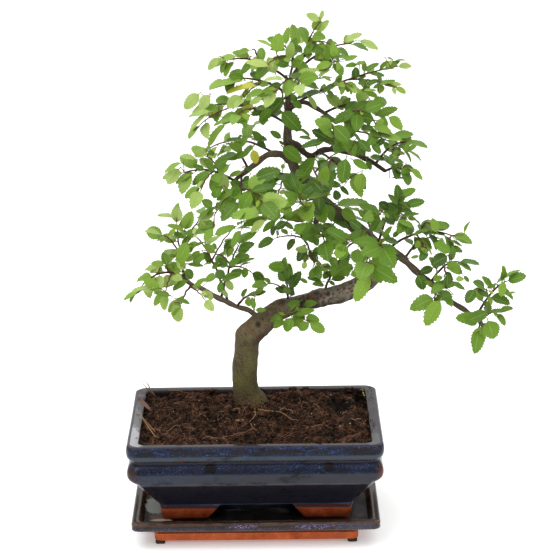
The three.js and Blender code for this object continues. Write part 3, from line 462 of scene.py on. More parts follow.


# Peat: a ramp of clods and crumbs in noise, rusty patches, and fibres from a noise drawn out along x. The
# ramp's near-black end lies where the relief sinks, painted shade between clods. Its tone darkens the hollows
# as painted shade, over a tone that varies at random.
def makePeat():
    p = Paint("darkPeat", Roughness=0.95, Specular_IOR_Level=0.12)
    clod = p.noise(110, 6, 0.65)
    crumb = p.noise(560, 5, 0.72)
    p.colour = p.ramp(clod * 0.4 + crumb * 0.6, (0.39, (9, 6, 5)), (0.47, (36, 24, 17)),
                      (0.545, (92, 63, 45)), (0.65, (160, 117, 89)))
    rust = p.noise(48, 4, 0.6).step(0.5, 0.68) * crumb.step(0.46, 0.62)
    p.wash(rust * 0.45, (112, 66, 44))
    thread = p.streaks(p.place, 230, 900, 700, 3, 0.6).step(0.57, 0.68)
    p.wash(thread * 0.65, (134, 94, 68))
    p.wash(p.attribute("tone"), (13, 10, 7))
    return p.finish(crumb + clod * 0.6 + thread * 0.3, 0.0018, 1.0)


def makeThread(name, dark, light, roughness=0.75):      # fibres, roots and straws, each with its own tone
    p = Paint(name, Roughness=roughness)
    grain = p.noise(900, 4, 0.65)
    p.colour = p.blend(p.attribute("tone"), dark, light)
    p.wash(grain.step(0.45, 0.75) * 0.45, (50, 30, 20))
    return p.finish(grain, 0.0002, 0.6)


# Plain stuff: a ramp of one noise, which is its relief too
def makeGrainy(name, dullness, scale, noiseRoughness, relief, strength, *stops):
    p = Paint(name, Roughness=dullness)
    grain = p.noise(scale, 4, noiseRoughness)
    p.colour = p.ramp(grain, *stops)
    return p.finish(grain, relief, strength)


# Glaze over red clay: a ramp of clouds, with tints, painted sheens and painted reflections in bands of
# height.
# In a blue band a deep blue patch lies where a wide noise passes .34, with blue specks, dark blots past
# blotFrom and bright runs at their margins. Edges are rubbed, and pits are dark. The clay is bare below
# clayLine, which barePatch moves up and down, with a dark border and a blue lip above it. Spots lie at x, z
# on the front, and stains and painted sheens at x, y inside the rim, both in millimetres from the middle of
# the pot.
def makeGlaze(name, look):
    p = Paint(name, Specular_IOR_Level=look["gloss"])
    height = p.axis("Z") * 1000
    sideways = p.axis("X") * 1000 - float(potMiddle[0] * 1000)
    deepways = p.axis("Y") * 1000 - float(potMiddle[1] * 1000)
    inside = p.attribute("inside")
    cloud = p.noise(look["cloudScale"], 5, 0.62)
    wide = p.streaks(p.place, 55, 55, 120, 5, 0.62)
    blots = p.streaks(p.place, 62, 62, 150, 5, 0.66)
    speck = p.noise(1200, 3, 0.66)
    grain = p.noise(2400, 2, 0.5)
    deep, body, pale = look["tones"]
    p.colour = p.ramp(cloud * 0.6 + wide * 0.4, (0.34, deep), (0.5, body), (0.68, pale))
    for low, high, tint, amount in look["tintsAndSheens"]:
        band = height.step(low - 0.6, low + 0.6) * height.step(high + 0.6, high - 0.6)
        p.wash(band * wide.step(0.22, 0.5) * amount, tint)
    dots = (speck * 0.75 + grain * 0.25).step(0.53, 0.6)
    shaken = height + (wide - 0.5) * 6
    deepBlue, blue, brightBlue = look["blues"]
    for low, high, amount, blotFrom in look["blueBands"]:
        band = shaken.step(low - 0.6, low + 0.8) * shaken.step(high + 0.8, high - 0.6) * inside.below(0.2)
        dark = blots.step(blotFrom, blotFrom + 0.08)
        patch = band * (1 - dark) * wide.step(0.26, 0.42)
        p.wash(patch * (0.5 * amount), deepBlue)
        p.wash(band * dark * 0.8, look["blot"])
        p.wash(patch * dots * amount, blue)
        margin = blots.step(blotFrom - 0.06, blotFrom - 0.02) * blots.step(blotFrom + 0.05, blotFrom + 0.01)
        p.wash(band * margin * dots * amount, brightBlue)
    for x, z, wideness, tallness, tint, amount, speckled in look["spots"]:
        gone = (((sideways - x) / wideness) ** 2 + ((height - z) / tallness) ** 2) ** 0.5
        torn = gone + (p.noise(160, 4, 0.6) - 0.5) * 0.9
        share = torn.step(1.1, 0.8) * deepways.below(-60.0) * (dots * speckled + (1 - speckled)) * amount
        p.wash(share, tint)
    for x, y, wideness, deepness, tint, amount in look["stainsAndSheens"]:
        gone = (((sideways - x) / wideness) ** 2 + ((deepways - y) / deepness) ** 2) ** 0.5
        torn = gone + (p.noise(90, 5, 0.65) - 0.5) * 1.6
        p.wash(torn.step(1.1, 0.7) * inside * amount, tint)
    amount, tint = look["walls"]
    p.wash(inside.step(0.6, 0.9) * amount, tint)
    edge = p.attribute("edge")
    rub = (edge * (p.noise(240, 4, 0.6).step(0.36, 0.6) * 0.8 + 0.2)).clip()
    amount, tint = look["worn"]
    p.wash(rub * amount, tint)
    glint = p.cells(330).step(0.09, 0.05) * edge.step(0.2, 0.5)
    p.wash(glint * 0.5, (190, 180, 170))
    scale, amount = look["pits"]
    p.wash(p.cells(scale).step(0.15, 0.12) * amount, (10, 8, 8))
    line = height + (p.noise(90, 4, 0.65) - 0.5) * look["barePatch"] - look["clayLine"]
    bare = line.step(0.25, -0.25)
    border, amount, tint = look["border"]
    p.wash(line.step(border + 0.3, border - 0.3) * amount, tint)
    lip = line.step(border - 0.2, border + 0.2) * line.step(border + 1.5, border + 0.8)
    amount, tint = look["lip"]
    p.wash(lip * wide.step(0.3, 0.5) * amount, tint)
    clayGrain = p.noise(700, 5, 0.7)
    clayTones = zip((0.32, 0.5, 0.68), look["clay"])
    clay = p.ramp(p.noise(90, 5, 0.65) * 0.6 + clayGrain * 0.4, *clayTones)
    clay = p.blend(p.noise(45, 4, 0.6).step(0.56, 0.72) * 0.4, clay, (70, 34, 22))
    clay = p.blend(p.cells(42).step(0.06, 0.04), clay, (18, 14, 12))
    p.wash(bare, clay)
    roughness = bare * 0.5 + (1 - bare) * (look["roughness"] + grain * 0.08 + rub * 0.12)
    relief = (1 - bare) * (p.noise(70, 3) * 0.8 + speck * 0.05) + bare * clayGrain * 0.6
    return p.finish(relief, 0.0006, 0.5, Roughness=roughness)


bark = makeBark()
twigBark = makeTwigBark()
leafUpper = makeLeafFace("leafUpper", under=False)
leafUnder = makeLeafFace("leafUnder", under=True)
peat = makePeat()
fibre = makeThread("peatFibre", (60, 38, 27), (166, 112, 82))
rootSkin = makeThread("fineRoot", (92, 50, 32), (184, 140, 100))
seedSkin = makeThread("yellowSeed", (96, 92, 36), (206, 202, 98))
straw = makeThread("dryStraw", (92, 50, 28), (188, 146, 82), 0.5)
grit = makeGrainy("perliteGrit", 0.9, 2500, 0.7, 0.0002, 1.0,
                  (0.35, (150, 138, 118)), (0.6, (228, 222, 208)))

# Rows of tintsAndSheens: low, high, tint, amount. Of blueBands: low, high, amount, blotFrom. Of spots: x, z,
# half width, half height, tint, amount, and 1 where speckled. Of stainsAndSheens: x, y, half width, half
# depth, tint and amount. Walls, worn and lip hold amount and tint, pits their scale and amount, and border
# its height above the clay line, amount and tint.
potGlaze = makeGlaze("blueGlaze", {
    "cloudScale": 30, "tones": [(7, 8, 12), (15, 17, 24), (32, 36, 45)],
    "blues": [(19, 24, 42), (46, 68, 114), (64, 98, 160)],
    "blot": (13, 10, 10), "gloss": 0.15, "roughness": 0.07,
    "blueBands": [(82.2, 84.6, 0.85, 0.6), (78.9, 82.2, 0.75, 0.5), (77.1, 78.9, 0.95, 0.6),
                  (66.4, 69.4, 0.85, 0.6), (61.4, 66.4, 0.3, 0.6)],
    # painted sheen on the rim top (84.4 to 90) and in the groove (69.4 to 71.4), painted reflections as grey
    # bands (71.8 to 77.1, 53.6 to 62), a painted highlight line (51.8 to 53.8) and a dark tint on the taper
    "tintsAndSheens": [(84.4, 90, (56, 51, 52), 0.8), (71.8, 77.1, (62, 71, 80), 0.8),
               (69.4, 71.4, (52, 50, 56), 0.8), (53.6, 62, (56, 58, 64), 0.75),
               (51.8, 53.8, (92, 94, 100), 0.55), (32.5, 51.8, (23, 22, 30), 0.85)],
    "spots": [(-34, 66.6, 5, 4, (8, 8, 12), 0.95, 0), (57, 67, 4.6, 3.8, (10, 10, 12), 0.9, 0),
              (-74, 66, 2.6, 1.8, (14, 14, 18), 0.8, 0), (-57, 73, 2.4, 2.2, (84, 50, 36), 0.7, 0),
              (20, 80.6, 22, 1.8, (22, 16, 13), 0.85, 0), (-52, 80.6, 18, 1.6, (22, 16, 13), 0.8, 0),
              (82, 80, 16, 2.8, (24, 17, 15), 0.8, 0), (-12, 80.4, 9, 1.8, (24, 17, 15), 0.8, 0),
              (50, 80.4, 9, 1.5, (24, 17, 15), 0.8, 0), (-84, 79.6, 8, 2.2, (18, 14, 13), 0.8, 0),
              (98, 60, 3, 9, (84, 44, 30), 0.7, 0), (-96, 60, 5, 8, (54, 36, 28), 0.85, 0),
              (-74, 60, 24, 7, (52, 72, 112), 0.6, 1), (-30, 58.5, 20, 5, (48, 64, 100), 0.35, 1)],
    # painted sheen: pale patches on the rim top at the left front, the left and the right
    "stainsAndSheens": [(-96, -64, 10, 40, (206, 206, 212), 0.95), (-96, -10, 9, 60, (196, 196, 200), 0.35),
               (94, -64, 7, 26, (150, 150, 154), 0.4)],
    "walls": (0.92, (30, 24, 22)), "worn": (0.4, (92, 74, 66)), "pits": (22, 0.6), "barePatch": 1.2,
    "clayLine": 28.0, "border": (3.1, 0.95, (50, 22, 15)), "lip": (0.55, (54, 74, 112)),
    "clay": [(76, 27, 13), (124, 51, 24), (162, 80, 42)],
})
trayGlaze = makeGlaze("brownGlaze", {
    "cloudScale": 26, "tones": [(12, 10, 9), (26, 22, 20), (54, 50, 48)],
    "blues": [(50, 48, 72), (112, 112, 176), (140, 146, 214)],
    "blot": (50, 36, 28), "gloss": 0.24, "roughness": 0.06, "blueBands": [(16.2, 18.6, 0.2, 0.52)],
    "tintsAndSheens": [(13, 17, (34, 33, 34), 0.6), (19.8, 21.8, (62, 40, 29), 0.85),
               (15.2, 16.4, (92, 90, 90), 0.5)],
    "spots": [(-9, 19.2, 12, 1.5, (150, 148, 220), 0.9, 1), (46, 18.8, 16, 2.2, (140, 140, 200), 0.8, 1),
              (76, 18.8, 20, 2.2, (90, 104, 160), 0.7, 1), (-70, 20.4, 16, 1.2, (52, 36, 26), 0.8, 0)],
    # a painted reflection as a pale grey patch in the well's left, then rust brown, pale specks and a grey
    # patch
    "stainsAndSheens": [(-81, -24, 7, 20, (140, 144, 138), 1.3), (-76, -50, 9, 6, (92, 66, 52), 1.2),
               (-74, -56, 9, 2.5, (190, 176, 160), 0.7),
               (82, -40, 6, 14, (84, 80, 76), 0.5)],
    "walls": (0.0, (40, 36, 32)), "worn": (0.75, (90, 68, 56)), "pits": (30, 0.2), "barePatch": 1.0,
    "clayLine": 9.2, "border": (0.9, 0.8, (40, 30, 26)), "lip": (0.4, (50, 46, 48)),
    "clay": [(144, 60, 22), (188, 86, 36), (214, 112, 58)],
})
rubber = makeGrainy("blackRubber", 0.7, 900, 0.7, 0.0002, 0.5, (0.4, (16, 16, 17)), (0.75, (46, 44, 42)))
netting = makeGrainy("nettingPlastic", 0.5, 500, 0.6, 0.0001, 0.5, (0.4, (26, 28, 27)), (0.7, (58, 58, 54)))
print("scene: materials made")


# Pot, feet and tray

# Rounded rectangle with half sides hx, hy and corner radius r: all are arrays over rows.
# Column by column it walks the four corners' arcs, with points along the sides between them.
def roundedRings(hx, hy, z, r, arcSteps, sideSteps):
    quarter = np.linspace(0, math.pi / 2, arcSteps + 1)
    signs = [(1, 1), (-1, 1), (-1, -1), (1, -1)]
    columns = []
    for q, (sx, sy) in enumerate(signs):
        angle = quarter + q * math.pi / 2
        arcX = sx * (hx - r)[:, None] + r[:, None] * np.cos(angle)
        arcY = sy * (hy - r)[:, None] + r[:, None] * np.sin(angle)
        nx, ny = signs[(q + 1) % 4]
        endX = nx * (hx - r) + r * math.cos((q + 1) * math.pi / 2)
        endY = ny * (hy - r) + r * math.sin((q + 1) * math.pi / 2)
        f = np.arange(1, sideSteps + 1) / (sideSteps + 1)
        lineX, lineY = between(arcX[:, -1:], endX[:, None], f), between(arcY[:, -1:], endY[:, None], f)
        columns += [np.stack([arcX, arcY], -1), np.stack([lineX, lineY], -1)]
    flat = np.concatenate(columns, axis=1)
    return np.concatenate([flat, np.broadcast_to(z[:, None, None], flat.shape[:2] + (1,))], -1)


def cornerCut(rows, rounds):      # each corner of a profile is replaced by points a quarter of the way along
    for _ in range(rounds):
        a, b = rows[:-1], rows[1:]
        cut = np.stack([a * 0.75 + b * 0.25, a * 0.25 + b * 0.75], 1).reshape(-1, rows.shape[1])
        rows = np.concatenate([rows[:1], cut, rows[-1:]])
    return rows


# Vessel from profile rows (inset x, inset y, z, corner radius, edge wear), closed flat at both ends.
# Its rim starts two rows before the highest one, and the rows more than rimRows past that line its inside.
def makeVessel(name, look, material, slotName):
    rows = cornerCut(np.array(look["rows"], float), look["rounds"])
    hx, hy = look["half"][0] - rows[:, 0], look["half"][1] - rows[:, 1]
    rings = roundedRings(hx, hy, rows[:, 2], rows[:, 3], look["arcSteps"], look["sideSteps"])
    columns = rings.shape[1]
    outward = unit(rings * np.array([1, 1, 0]))
    wobble = roughField(rings, 55, 2, look["seed"]) * look["wobble"]
    sway = fieldAt(rings, 80, look["seed"] + 5) * look["wobble"] * 0.6
    cornerX = np.abs(np.abs(rings[..., 0]) - hx[:, None])
    cornerY = np.abs(np.abs(rings[..., 1]) - hy[:, None])
    corner = 1 - smoothStep(cornerX + cornerY, 2, 9)
    rings = rings + outward * wobble[..., None] + upward * sway[..., None]
    edge = np.clip(rows[:, 4][:, None] + corner * look["cornerWear"], 0, 1)
    past = np.arange(len(rows)) - np.argmax(rows[:, 2])
    inside = np.where(past > look["rimRows"], 1.0, np.where(past > -3, 0.5, 0)) * np.ones((columns, 1))
    points = rings.reshape(-1, 3)
    count = len(points)
    middles = np.array([[0, 0, rings[0, :, 2].mean()], [0, 0, rings[-1, :, 2].mean()]])
    low = fanFaces(np.arange(columns), count, flip=True)
    high = fanFaces(np.arange(columns) + count - columns, count + 1)
    extras = {"edge": np.concatenate([edge.ravel(), [0, 0]]),
              "inside": np.concatenate([inside.T.ravel(), [0, 1]])}
    faces = [gridFaces(len(rings), columns, True), low, high]
    return makePiece(name, np.concatenate([points, middles]), faces, extras, material, slotName)


potLook = {
    "half": (100, 75), "arcSteps": 10, "sideSteps": 34, "rounds": 2, "wobble": 0.32, "seed": 3,
    "cornerWear": 0.25, "rimRows": 9,
    "rows": [
        (24, 16.5, 31.6, 6, 0), (23.4, 16.1, 32.4, 6, 0.1), (8.1, 4.6, 50.9, 7, 0), (6.9, 3.7, 52.3, 8, 0.5),
        (6.1, 3.2, 53, 8, 0.5), (4.4, 2.6, 53.9, 9, 0.1), (2.4, 1.8, 55.2, 9, 0), (0.8, 0.7, 57.6, 9, 0),
        (0.3, 0.3, 61, 9, 0), (0.6, 0.6, 64, 9, 0), (1.7, 1.7, 67, 9, 0.15), (3.2, 3.1, 68.7, 8.5, 0.3),
        (4.3, 4.1, 69.5, 8, 0.1), (4.8, 4.6, 70.3, 8, 0), (4.7, 4.5, 71.3, 8, 0), (3.7, 3.5, 72.1, 8, 0.1),
        (2.2, 2.1, 72.8, 9, 0.4), (1, 1, 74, 9, 0.3), (0.4, 0.4, 76, 9, 0), (0, 0, 79, 9, 0),
        (0.1, 0.1, 82, 9, 0.1), (0.6, 0.6, 83.7, 9, 0.35), (1.8, 1.8, 84.7, 9, 0.45), (3.4, 3.4, 85, 8, 0.15),
        (6.4, 6.4, 84.9, 7, 0), (8.3, 8.3, 84.6, 6, 0.2), (9.5, 9.5, 83.9, 5.5, 0.35), (10, 10, 82.6, 5, 0.1),
        (10.3, 10.2, 80, 5, 0), (11.5, 11, 68, 4, 0), (16, 13, 53, 4, 0), (30, 22.5, 42.1, 4, 0),
        (34, 25.5, 38.1, 4, 0),
    ],
}


# Takes solid shapes out of a mesh with Boolean modifiers, then keeps the result as the mesh
def carve(piece, cutters):
    for cutter in cutters:
        change = piece.modifiers.new("carve", "BOOLEAN")
        change.operation = "DIFFERENCE"
        change.solver = "EXACT"
        change.object = cutter
    shaped = bpy.data.meshes.new_from_object(piece.evaluated_get(bpy.context.evaluated_depsgraph_get()))
    piece.modifiers.clear()
    old = piece.data
    piece.data = shaped
    bpy.data.meshes.remove(old)
    for cutter in cutters:
        bpy.data.objects.remove(cutter)


def drillAt(x, y, low, high, radius, sides=40):      # a closed drum
    angle = np.arange(sides) * 2 * math.pi / sides
    ring = np.array([x, y]) + radius * wayAt(angle)
    points = np.concatenate([np.column_stack([ring, np.full(sides, z)]) for z in (low, high)])
    mesh = bpy.data.meshes.new("drill")
    ends = [list(range(sides - 1, -1, -1)), list(range(sides, 2 * sides))]
    faces = gridFaces(2, sides, True).tolist() + ends
    mesh.from_pydata((points / 1000 + potMiddle).tolist(), [], faces)
    drill = bpy.data.objects.new("drill", mesh)
    bpy.context.collection.objects.link(drill)
    return drill


drainLook = {"aside": 42, "radius": 7, "low": 20, "high": 60}      # the two drainage holes
pot = makeVessel("glazedPot", potLook, potGlaze, "pot_glaze")
carve(pot, [drillAt(side * drainLook["aside"], 0, drainLook["low"], drainLook["high"], drainLook["radius"])
            for side in (-1, 1)])
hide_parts("pot")


# Four corner feet. A section of height and thickness is carried round each corner of the pot's foot,
# between two slanted ends: the way along is start(z) + t * (end(z) - start(z)). The outer side leans in
# by draft toward the table, each end is pinched, and a rough field moves all of it, more at torn ends.
def makeFeet(look):
    low, high, thick, rounding, r = (look[key] for key in ("low", "high", "thickness", "rounding", "radius"))
    middle, bend, (hx, hy) = (low + high) / 2, low + rounding, look["half"]
    inset = np.array([0, 0, 0.3, rounding, thick - rounding, thick, thick, thick, thick / 2, 0.6])
    level = np.array([high, middle, bend, low, low, bend, middle, high, high, high])
    t = np.concatenate([[0, 0.012], np.linspace(0.03, 0.97, look["steps"]), [0.988, 1]])[:, None]
    pinch = np.concatenate([[0.8, 0.25], np.zeros(look["steps"]), [0.25, 0.8]])[:, None]
    share = (high - level) / (high - low)
    start, sideGap = (look[key][0] + share * np.ptp(look[key]) for key in ("frontGap", "sideGap"))
    straightX, arc, straightY = hx - r, r * math.pi / 2, hy - r
    way = start + t * (straightX + arc + (straightY - sideGap) - start)
    turn = np.clip((way - straightX) / arc, 0, 1) * math.pi / 2
    nx, ny = np.sin(turn), np.cos(turn)
    cx = np.where(way < straightX, way, straightX + r * nx)
    cy = np.where(way < straightX + arc, hy - r + r * ny, hy - r - (way - straightX - arc))
    inward = inset + look["draft"] * share * (inset < thick / 2) + pinch * np.where(inset > thick / 2, -1, 1)
    z = level + pinch * (level < low + 1)
    torn = look["rough"] * (1 + look["tornEnds"] * (1 - smoothStep(np.minimum(t, 1 - t), 0, 0.06)))
    rows, columns = way.shape
    faces = gridFaces(rows, columns, True)
    ends = np.stack([np.arange(columns)[::-1], np.arange(columns) + (rows - 1) * columns])
    skins = []
    for sx, sy in [(-1, -1), (-1, 1), (1, -1), (1, 1)]:
        points = np.stack([sx * (cx - nx * inward), sy * (cy - ny * inward), z], -1)
        outward = np.stack([sx * nx, sy * ny, 0 * nx], -1)
        points = points + (roughField(points, 14, 3, 7) * torn)[..., None] * outward
        turned = slice(None, None, -1 if sx * sy > 0 else 1)      # keeps the faces outward
        extras = {key: np.zeros(rows * columns) for key in ("edge", "inside")}
        skins.append((points.reshape(-1, 3), [faces[:, turned], ends[:, turned]], extras))
    return makePiece("clayFeet", *joined(skins), potGlaze, "pot_glaze")


feet = makeFeet({
    "half": (76, 58.5), "radius": 6.0, "low": 18.5, "high": 32.3, "thickness": 12, "rounding": 1.3,
    "draft": 2.6, "steps": 60, "frontGap": (27, 38), "sideGap": (18, 27), "rough": 0.45, "tornEnds": 1.6,
})
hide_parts("pot")

trayLook = {
    "half": (97, 75), "arcSteps": 8, "sideSteps": 30, "rounds": 2, "wobble": 0.25, "seed": 11,
    "cornerWear": 0.3, "rimRows": 22,
    "rows": [
        (26.5, 22.5, 4.6, 3, 0), (26.5, 22.5, 3, 3, 0), (26.2, 22.2, 2.6, 3, 0), (18.6, 14.6, 2.6, 5, 0),
        (17.4, 13.4, 2.8, 5, 0), (17, 13, 3.6, 5, 0), (17, 13, 8.2, 5, 0), (16.6, 12.7, 9, 5, 0),
        (14.5, 11, 10.6, 5, 0), (8, 6, 13.2, 5, 0), (2.2, 2.1, 15, 5, 0.1), (0.7, 0.7, 15.6, 5, 0.6),
        (0.1, 0.1, 16.5, 5, 0.3), (0.25, 0.25, 18.5, 5, 0), (0, 0, 20.8, 5, 0.4),
        (0.3, 0.3, 21.6, 5, 0.9), (1.1, 1.1, 22.1, 4.5, 0.8), (2.2, 2.2, 21.95, 4.5, 0.1),
        (4.4, 4.4, 21.9, 4, 0.1), (5.3, 5.3, 22.1, 4, 0.9), (6.1, 6.1, 21.8, 4, 1), (6.9, 6.9, 20.8, 4, 0.2),
        (8.6, 8.6, 19, 4, 0), (10, 10, 18.3, 4, 0), (12, 12, 18.1, 4, 0), (40, 30, 18.1, 4, 0),
    ],
}
tray = makeVessel("glazedTray", trayLook, trayGlaze, "tray_glaze")
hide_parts("drip_tray")

for name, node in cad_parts.items():      # the pads and the nettings keep their solids
    if name.startswith("tray_pad") or name.startswith("drain_netting"):
        node.data.materials.clear()
        node.data.materials.append(rubber if name.startswith("tray_pad") else netting)
print("scene: pot, feet and tray made")


# Soil

soilLook = {
    "half": (89.7, 64.8), "across": 250, "deep": 180, "edge": 81.8, "mound": 2.4, "moundReach": 28,
    "clods": 4.2, "crumbs": 1.5, "drop": 1.2, "dropReach": 9, "trunk": (-4, 30),
    "hollows": [(68, 33, 8, 13, 6.5), (62, -19, 7, 7, 2.6), (50, -38, 10, 6, 2.4), (-34, -6, 8, 6, 2.4),
                (85, 52, 5, 8, 3), (-64, 50, 9, 6, 2), (-22, 12, 9, 4, 1.8), (30, -2, 6, 4, 1.2)],
    "walls": [(88, 63.4, 68.4), (83.2, 61, 53.4), (69.5, 52.2, 42.6), (65.3, 48.8, 38.5)],      # halves, z
}


def hollowAt(x, y):      # sum of depth exp(-(distance / reach)^2) over the hollows
    return sum(deep * np.exp(-(((x - atX) / wide) ** 2 + ((y - atY) / long) ** 2))
               for atX, atY, wide, long, deep in soilLook["hollows"])


# Height of the soil at x, y: level, a mound at the trunk, two slow waves, clods from fields of 26 down to
# 1.5 mm, a drop along the walls, and the hollows
def soilHeight(x, y):
    look = soilLook
    clods, crumbs = look["clods"], look["crumbs"]
    flat = np.stack([x, y, np.zeros_like(x)], -1)
    near = np.hypot(x - look["trunk"][0], y - look["trunk"][1]) / look["moundReach"]
    wave = np.sin(x * 0.21 + 1.3) * np.cos(y * 0.19) + 0.7 * np.sin(x * 0.13 - y * 0.31 + 2)
    large = roughField(flat, 26, 3, 20) * clods * 0.6
    lumps = np.maximum(fieldAt(flat, 7, 31), 0) ** 1.5 * clods + fieldAt(flat, 3.2, 33) * crumbs * 0.6
    fine = fieldAt(flat, 1.5, 35) * crumbs * 0.4
    wall = np.minimum(look["half"][0] - np.abs(x), look["half"][1] - np.abs(y))
    fall = look["drop"] * (1 - smoothStep(wall, 0, look["dropReach"])) * (0.6 + 0.6 * fieldAt(flat, 12, 40))
    level = look["edge"] + look["mound"] * np.exp(-near ** 2) + 0.6 * wave
    return level + large + lumps + fine - fall - hollowAt(x, y)


# The soil's top is a grid of heights. Its rim is carried down the pot's walls and closed by a floor.
def makeSoil(look):
    halfX, halfY = look["half"]
    xs, ys = np.linspace(-halfX, halfX, look["across"]), np.linspace(-halfY, halfY, look["deep"])
    gy, gx = np.meshgrid(ys, xs, indexing="ij")
    top = np.stack([gx, gy, soilHeight(gx, gy)], -1).reshape(-1, 3)
    rim = gridRim(*gx.shape)
    rings = [top[rim] * np.array([hx / halfX, hy / halfY, 0]) + upward * z for hx, hy, z in look["walls"]]
    points = np.concatenate([top] + rings + [upward[None] * look["walls"][-1][2]])
    loops = [rim] + [len(top) + k * len(rim) + np.arange(len(rim)) for k in range(len(rings))]
    faces = [gridFaces(*gx.shape)]
    for upper, lower in zip(loops[:-1], loops[1:]):
        faces.append(np.stack([upper, lower, np.roll(lower, -1), np.roll(upper, -1)], -1))
    faces.append(fanFaces(loops[-1], len(points) - 1, flip=True))
    # painted shade: 0.3 of each hollow's depth darkens the tone there, over a random tone
    tone = 0.28 - 0.62 * roughField(points, 11, 3, 50) + 0.3 * hollowAt(points[:, 0], points[:, 1])
    return makePiece("peatSoil", points, faces, {"tone": np.clip(tone, 0, 0.95)}, peat, "soil")


soil = makeSoil(soilLook)
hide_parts("soil")


# Lumps: a ball of 12 corners and 20 faces, each lump stretched, turned and dented by its own draw
golden = 1.618
signs = [(s, t) for s in (-1, 1) for t in (-1, 1)]
ballCorners = unit(np.array([(s, t * golden, 0) for s, t in signs] + [(0, s, t * golden) for s, t in signs]
                            + [(t * golden, 0, s) for s, t in signs]))


def ballFaces():      # the faces of the hull of the 12 corners
    near = np.linalg.norm(ballCorners[:, None] - ballCorners[None], axis=-1) < 1.1
    faces = []
    for i, j, k in [(i, j, k) for i in range(12) for j in range(i + 1, 12) for k in range(j + 1, 12)]:
        if near[i, j] and near[j, k] and near[i, k]:
            a, b, c = ballCorners[[i, j, k]]
            faces.append((i, j, k) if np.cross(b - a, c - a) @ (a + b + c) > 0 else (i, k, j))
    return np.array(faces)


def turnsFor(count):      # a random turn for each lump, from normalised quaternions
    w, x, y, z = unit(dice.normal(size=(count, 4))).T
    return np.stack([
        np.stack([1 - 2 * (y * y + z * z), 2 * (x * y - z * w), 2 * (x * z + y * w)], -1),
        np.stack([2 * (x * y + z * w), 1 - 2 * (x * x + z * z), 2 * (y * z - x * w)], -1),
        np.stack([2 * (x * z - y * w), 2 * (y * z + x * w), 1 - 2 * (x * x + y * y)], -1)], -2)


def makeLumps(name, places, sizes, material, tones, flatness=0.7, dent=0.28):
    count = len(places)
    dents = 1 + dice.uniform(-dent, dent, (count, 12, 1))
    stretch = np.stack([sizes, sizes * dice.uniform(0.6, 1, count), sizes * flatness], -1)
    shape = ballCorners[None] * dents * stretch[:, None]
    turned = np.einsum("nij,nkj->nki", turnsFor(count), shape) + places[:, None]
    faces = (ballFaces()[None] + (np.arange(count) * 12)[:, None, None]).reshape(-1, 3)
    extras = {"tone": np.repeat(tones, 12)}
    return makePiece(name, turned.reshape(-1, 3), [faces], extras, material, "soil", smooth=False)


def scatter(count, margin=1.5):
    x = dice.uniform(-1, 1, count) * (soilLook["half"][0] - margin)
    y = dice.uniform(-1, 1, count) * (soilLook["half"][1] - margin)
    return x, y


# Crumbs all over, more along the walls and round the trunk, small heaps against the back wall, and a few
# on the rim
crumbLook = {
    "count": 3300, "sizes": (0.4, 2.4), "skew": 3.0, "byWall": 420, "wallSizes": (0.6, 1.9), "wallGap": 3.5,
    "atFoot": 170, "foot": (-3, 29), "footGap": (9.5, 16), "heapSizes": (0.5, 1.7),
    "heapSpread": (0.6, 0.25, 0.28),
    "onRim": (34, 9), "rimRight": (91, 95.5), "rimLeft": (-95, -91.5), "rimDeep": (-60, 66),
    "rimHeight": 85.1, "rimSizes": (0.2, 0.6),
    "heaps": [      # x, y, height of the middle, reach, lumps
        (76, 62.5, 85.4, 3.4, 22), (-37, 62.5, 85.6, 4.6, 26), (-62, 62, 84.6, 4, 16), (84, 58, 84.4, 3, 14),
        (-86, 44, 84, 3.4, 16), (86, 10, 84.2, 3, 14), (40, 62.5, 84.3, 3, 12), (84, -30, 84.2, 2.6, 12),
    ],
}


def placeCrumbs(look):
    places, sizes = [], []

    def lay(x, y, size, lift):
        places.append(np.stack([x, y, soilHeight(x, y) + lift], -1))
        sizes.append(size)

    x, y = scatter(look["count"])
    size = look["sizes"][0] + np.ptp(look["sizes"]) * dice.uniform(0, 1, len(x)) ** look["skew"]
    lay(x, y, size, size * 0.3)
    count, (halfX, halfY) = look["byWall"], soilLook["half"]
    way = dice.uniform(-1, 1, count)
    gap = dice.uniform(0, 1, count) ** 1.5 * look["wallGap"]
    alongX = dice.uniform(0, 1, count) < 0.6
    sign = np.where(dice.uniform(0, 1, count) < 0.5, -1, 1)
    x = np.where(alongX, way * halfX, sign * (halfX - gap))
    y = np.where(alongX, sign * (halfY - gap), way * halfY)
    size = draw(look["wallSizes"], count)
    lay(x, y, size, size * 0.55)
    turn = dice.uniform(-math.pi, math.pi, look["atFoot"])
    gone = draw(look["footGap"], look["atFoot"])
    x, y = (np.array(look["foot"]) + gone[:, None] * wayAt(turn)).T
    size = draw(look["heapSizes"], look["atFoot"])
    lay(x, y, size, size * 0.5 + (look["footGap"][1] - gone) * 0.08)
    for *middle, reach, lumps in look["heaps"]:
        off = dice.normal(size=(lumps, 3)) * reach * np.array(look["heapSpread"])
        off[:, 2] = -np.abs(off[:, 2])
        places.append(np.array(middle) + off)
        sizes.append(draw(look["heapSizes"], lumps))
    right, left = look["onRim"]
    x = np.concatenate([draw(look["rimRight"], right), draw(look["rimLeft"], left)])
    y = draw(look["rimDeep"], len(x))
    places.append(np.stack([x, y, np.full(len(x), look["rimHeight"])], -1))
    sizes.append(draw(look["rimSizes"], len(x)))
    return np.concatenate(places), np.concatenate(sizes)


places, sizes = placeCrumbs(crumbLook)
# painted shade: crumbs in the hollows darken too
crumbTones = dice.uniform(0, 0.7, len(places)) + 0.28 * hollowAt(places[:, 0], places[:, 1])
makeLumps("peatCrumbs", places, sizes, peat, np.clip(crumbTones, 0, 0.95))

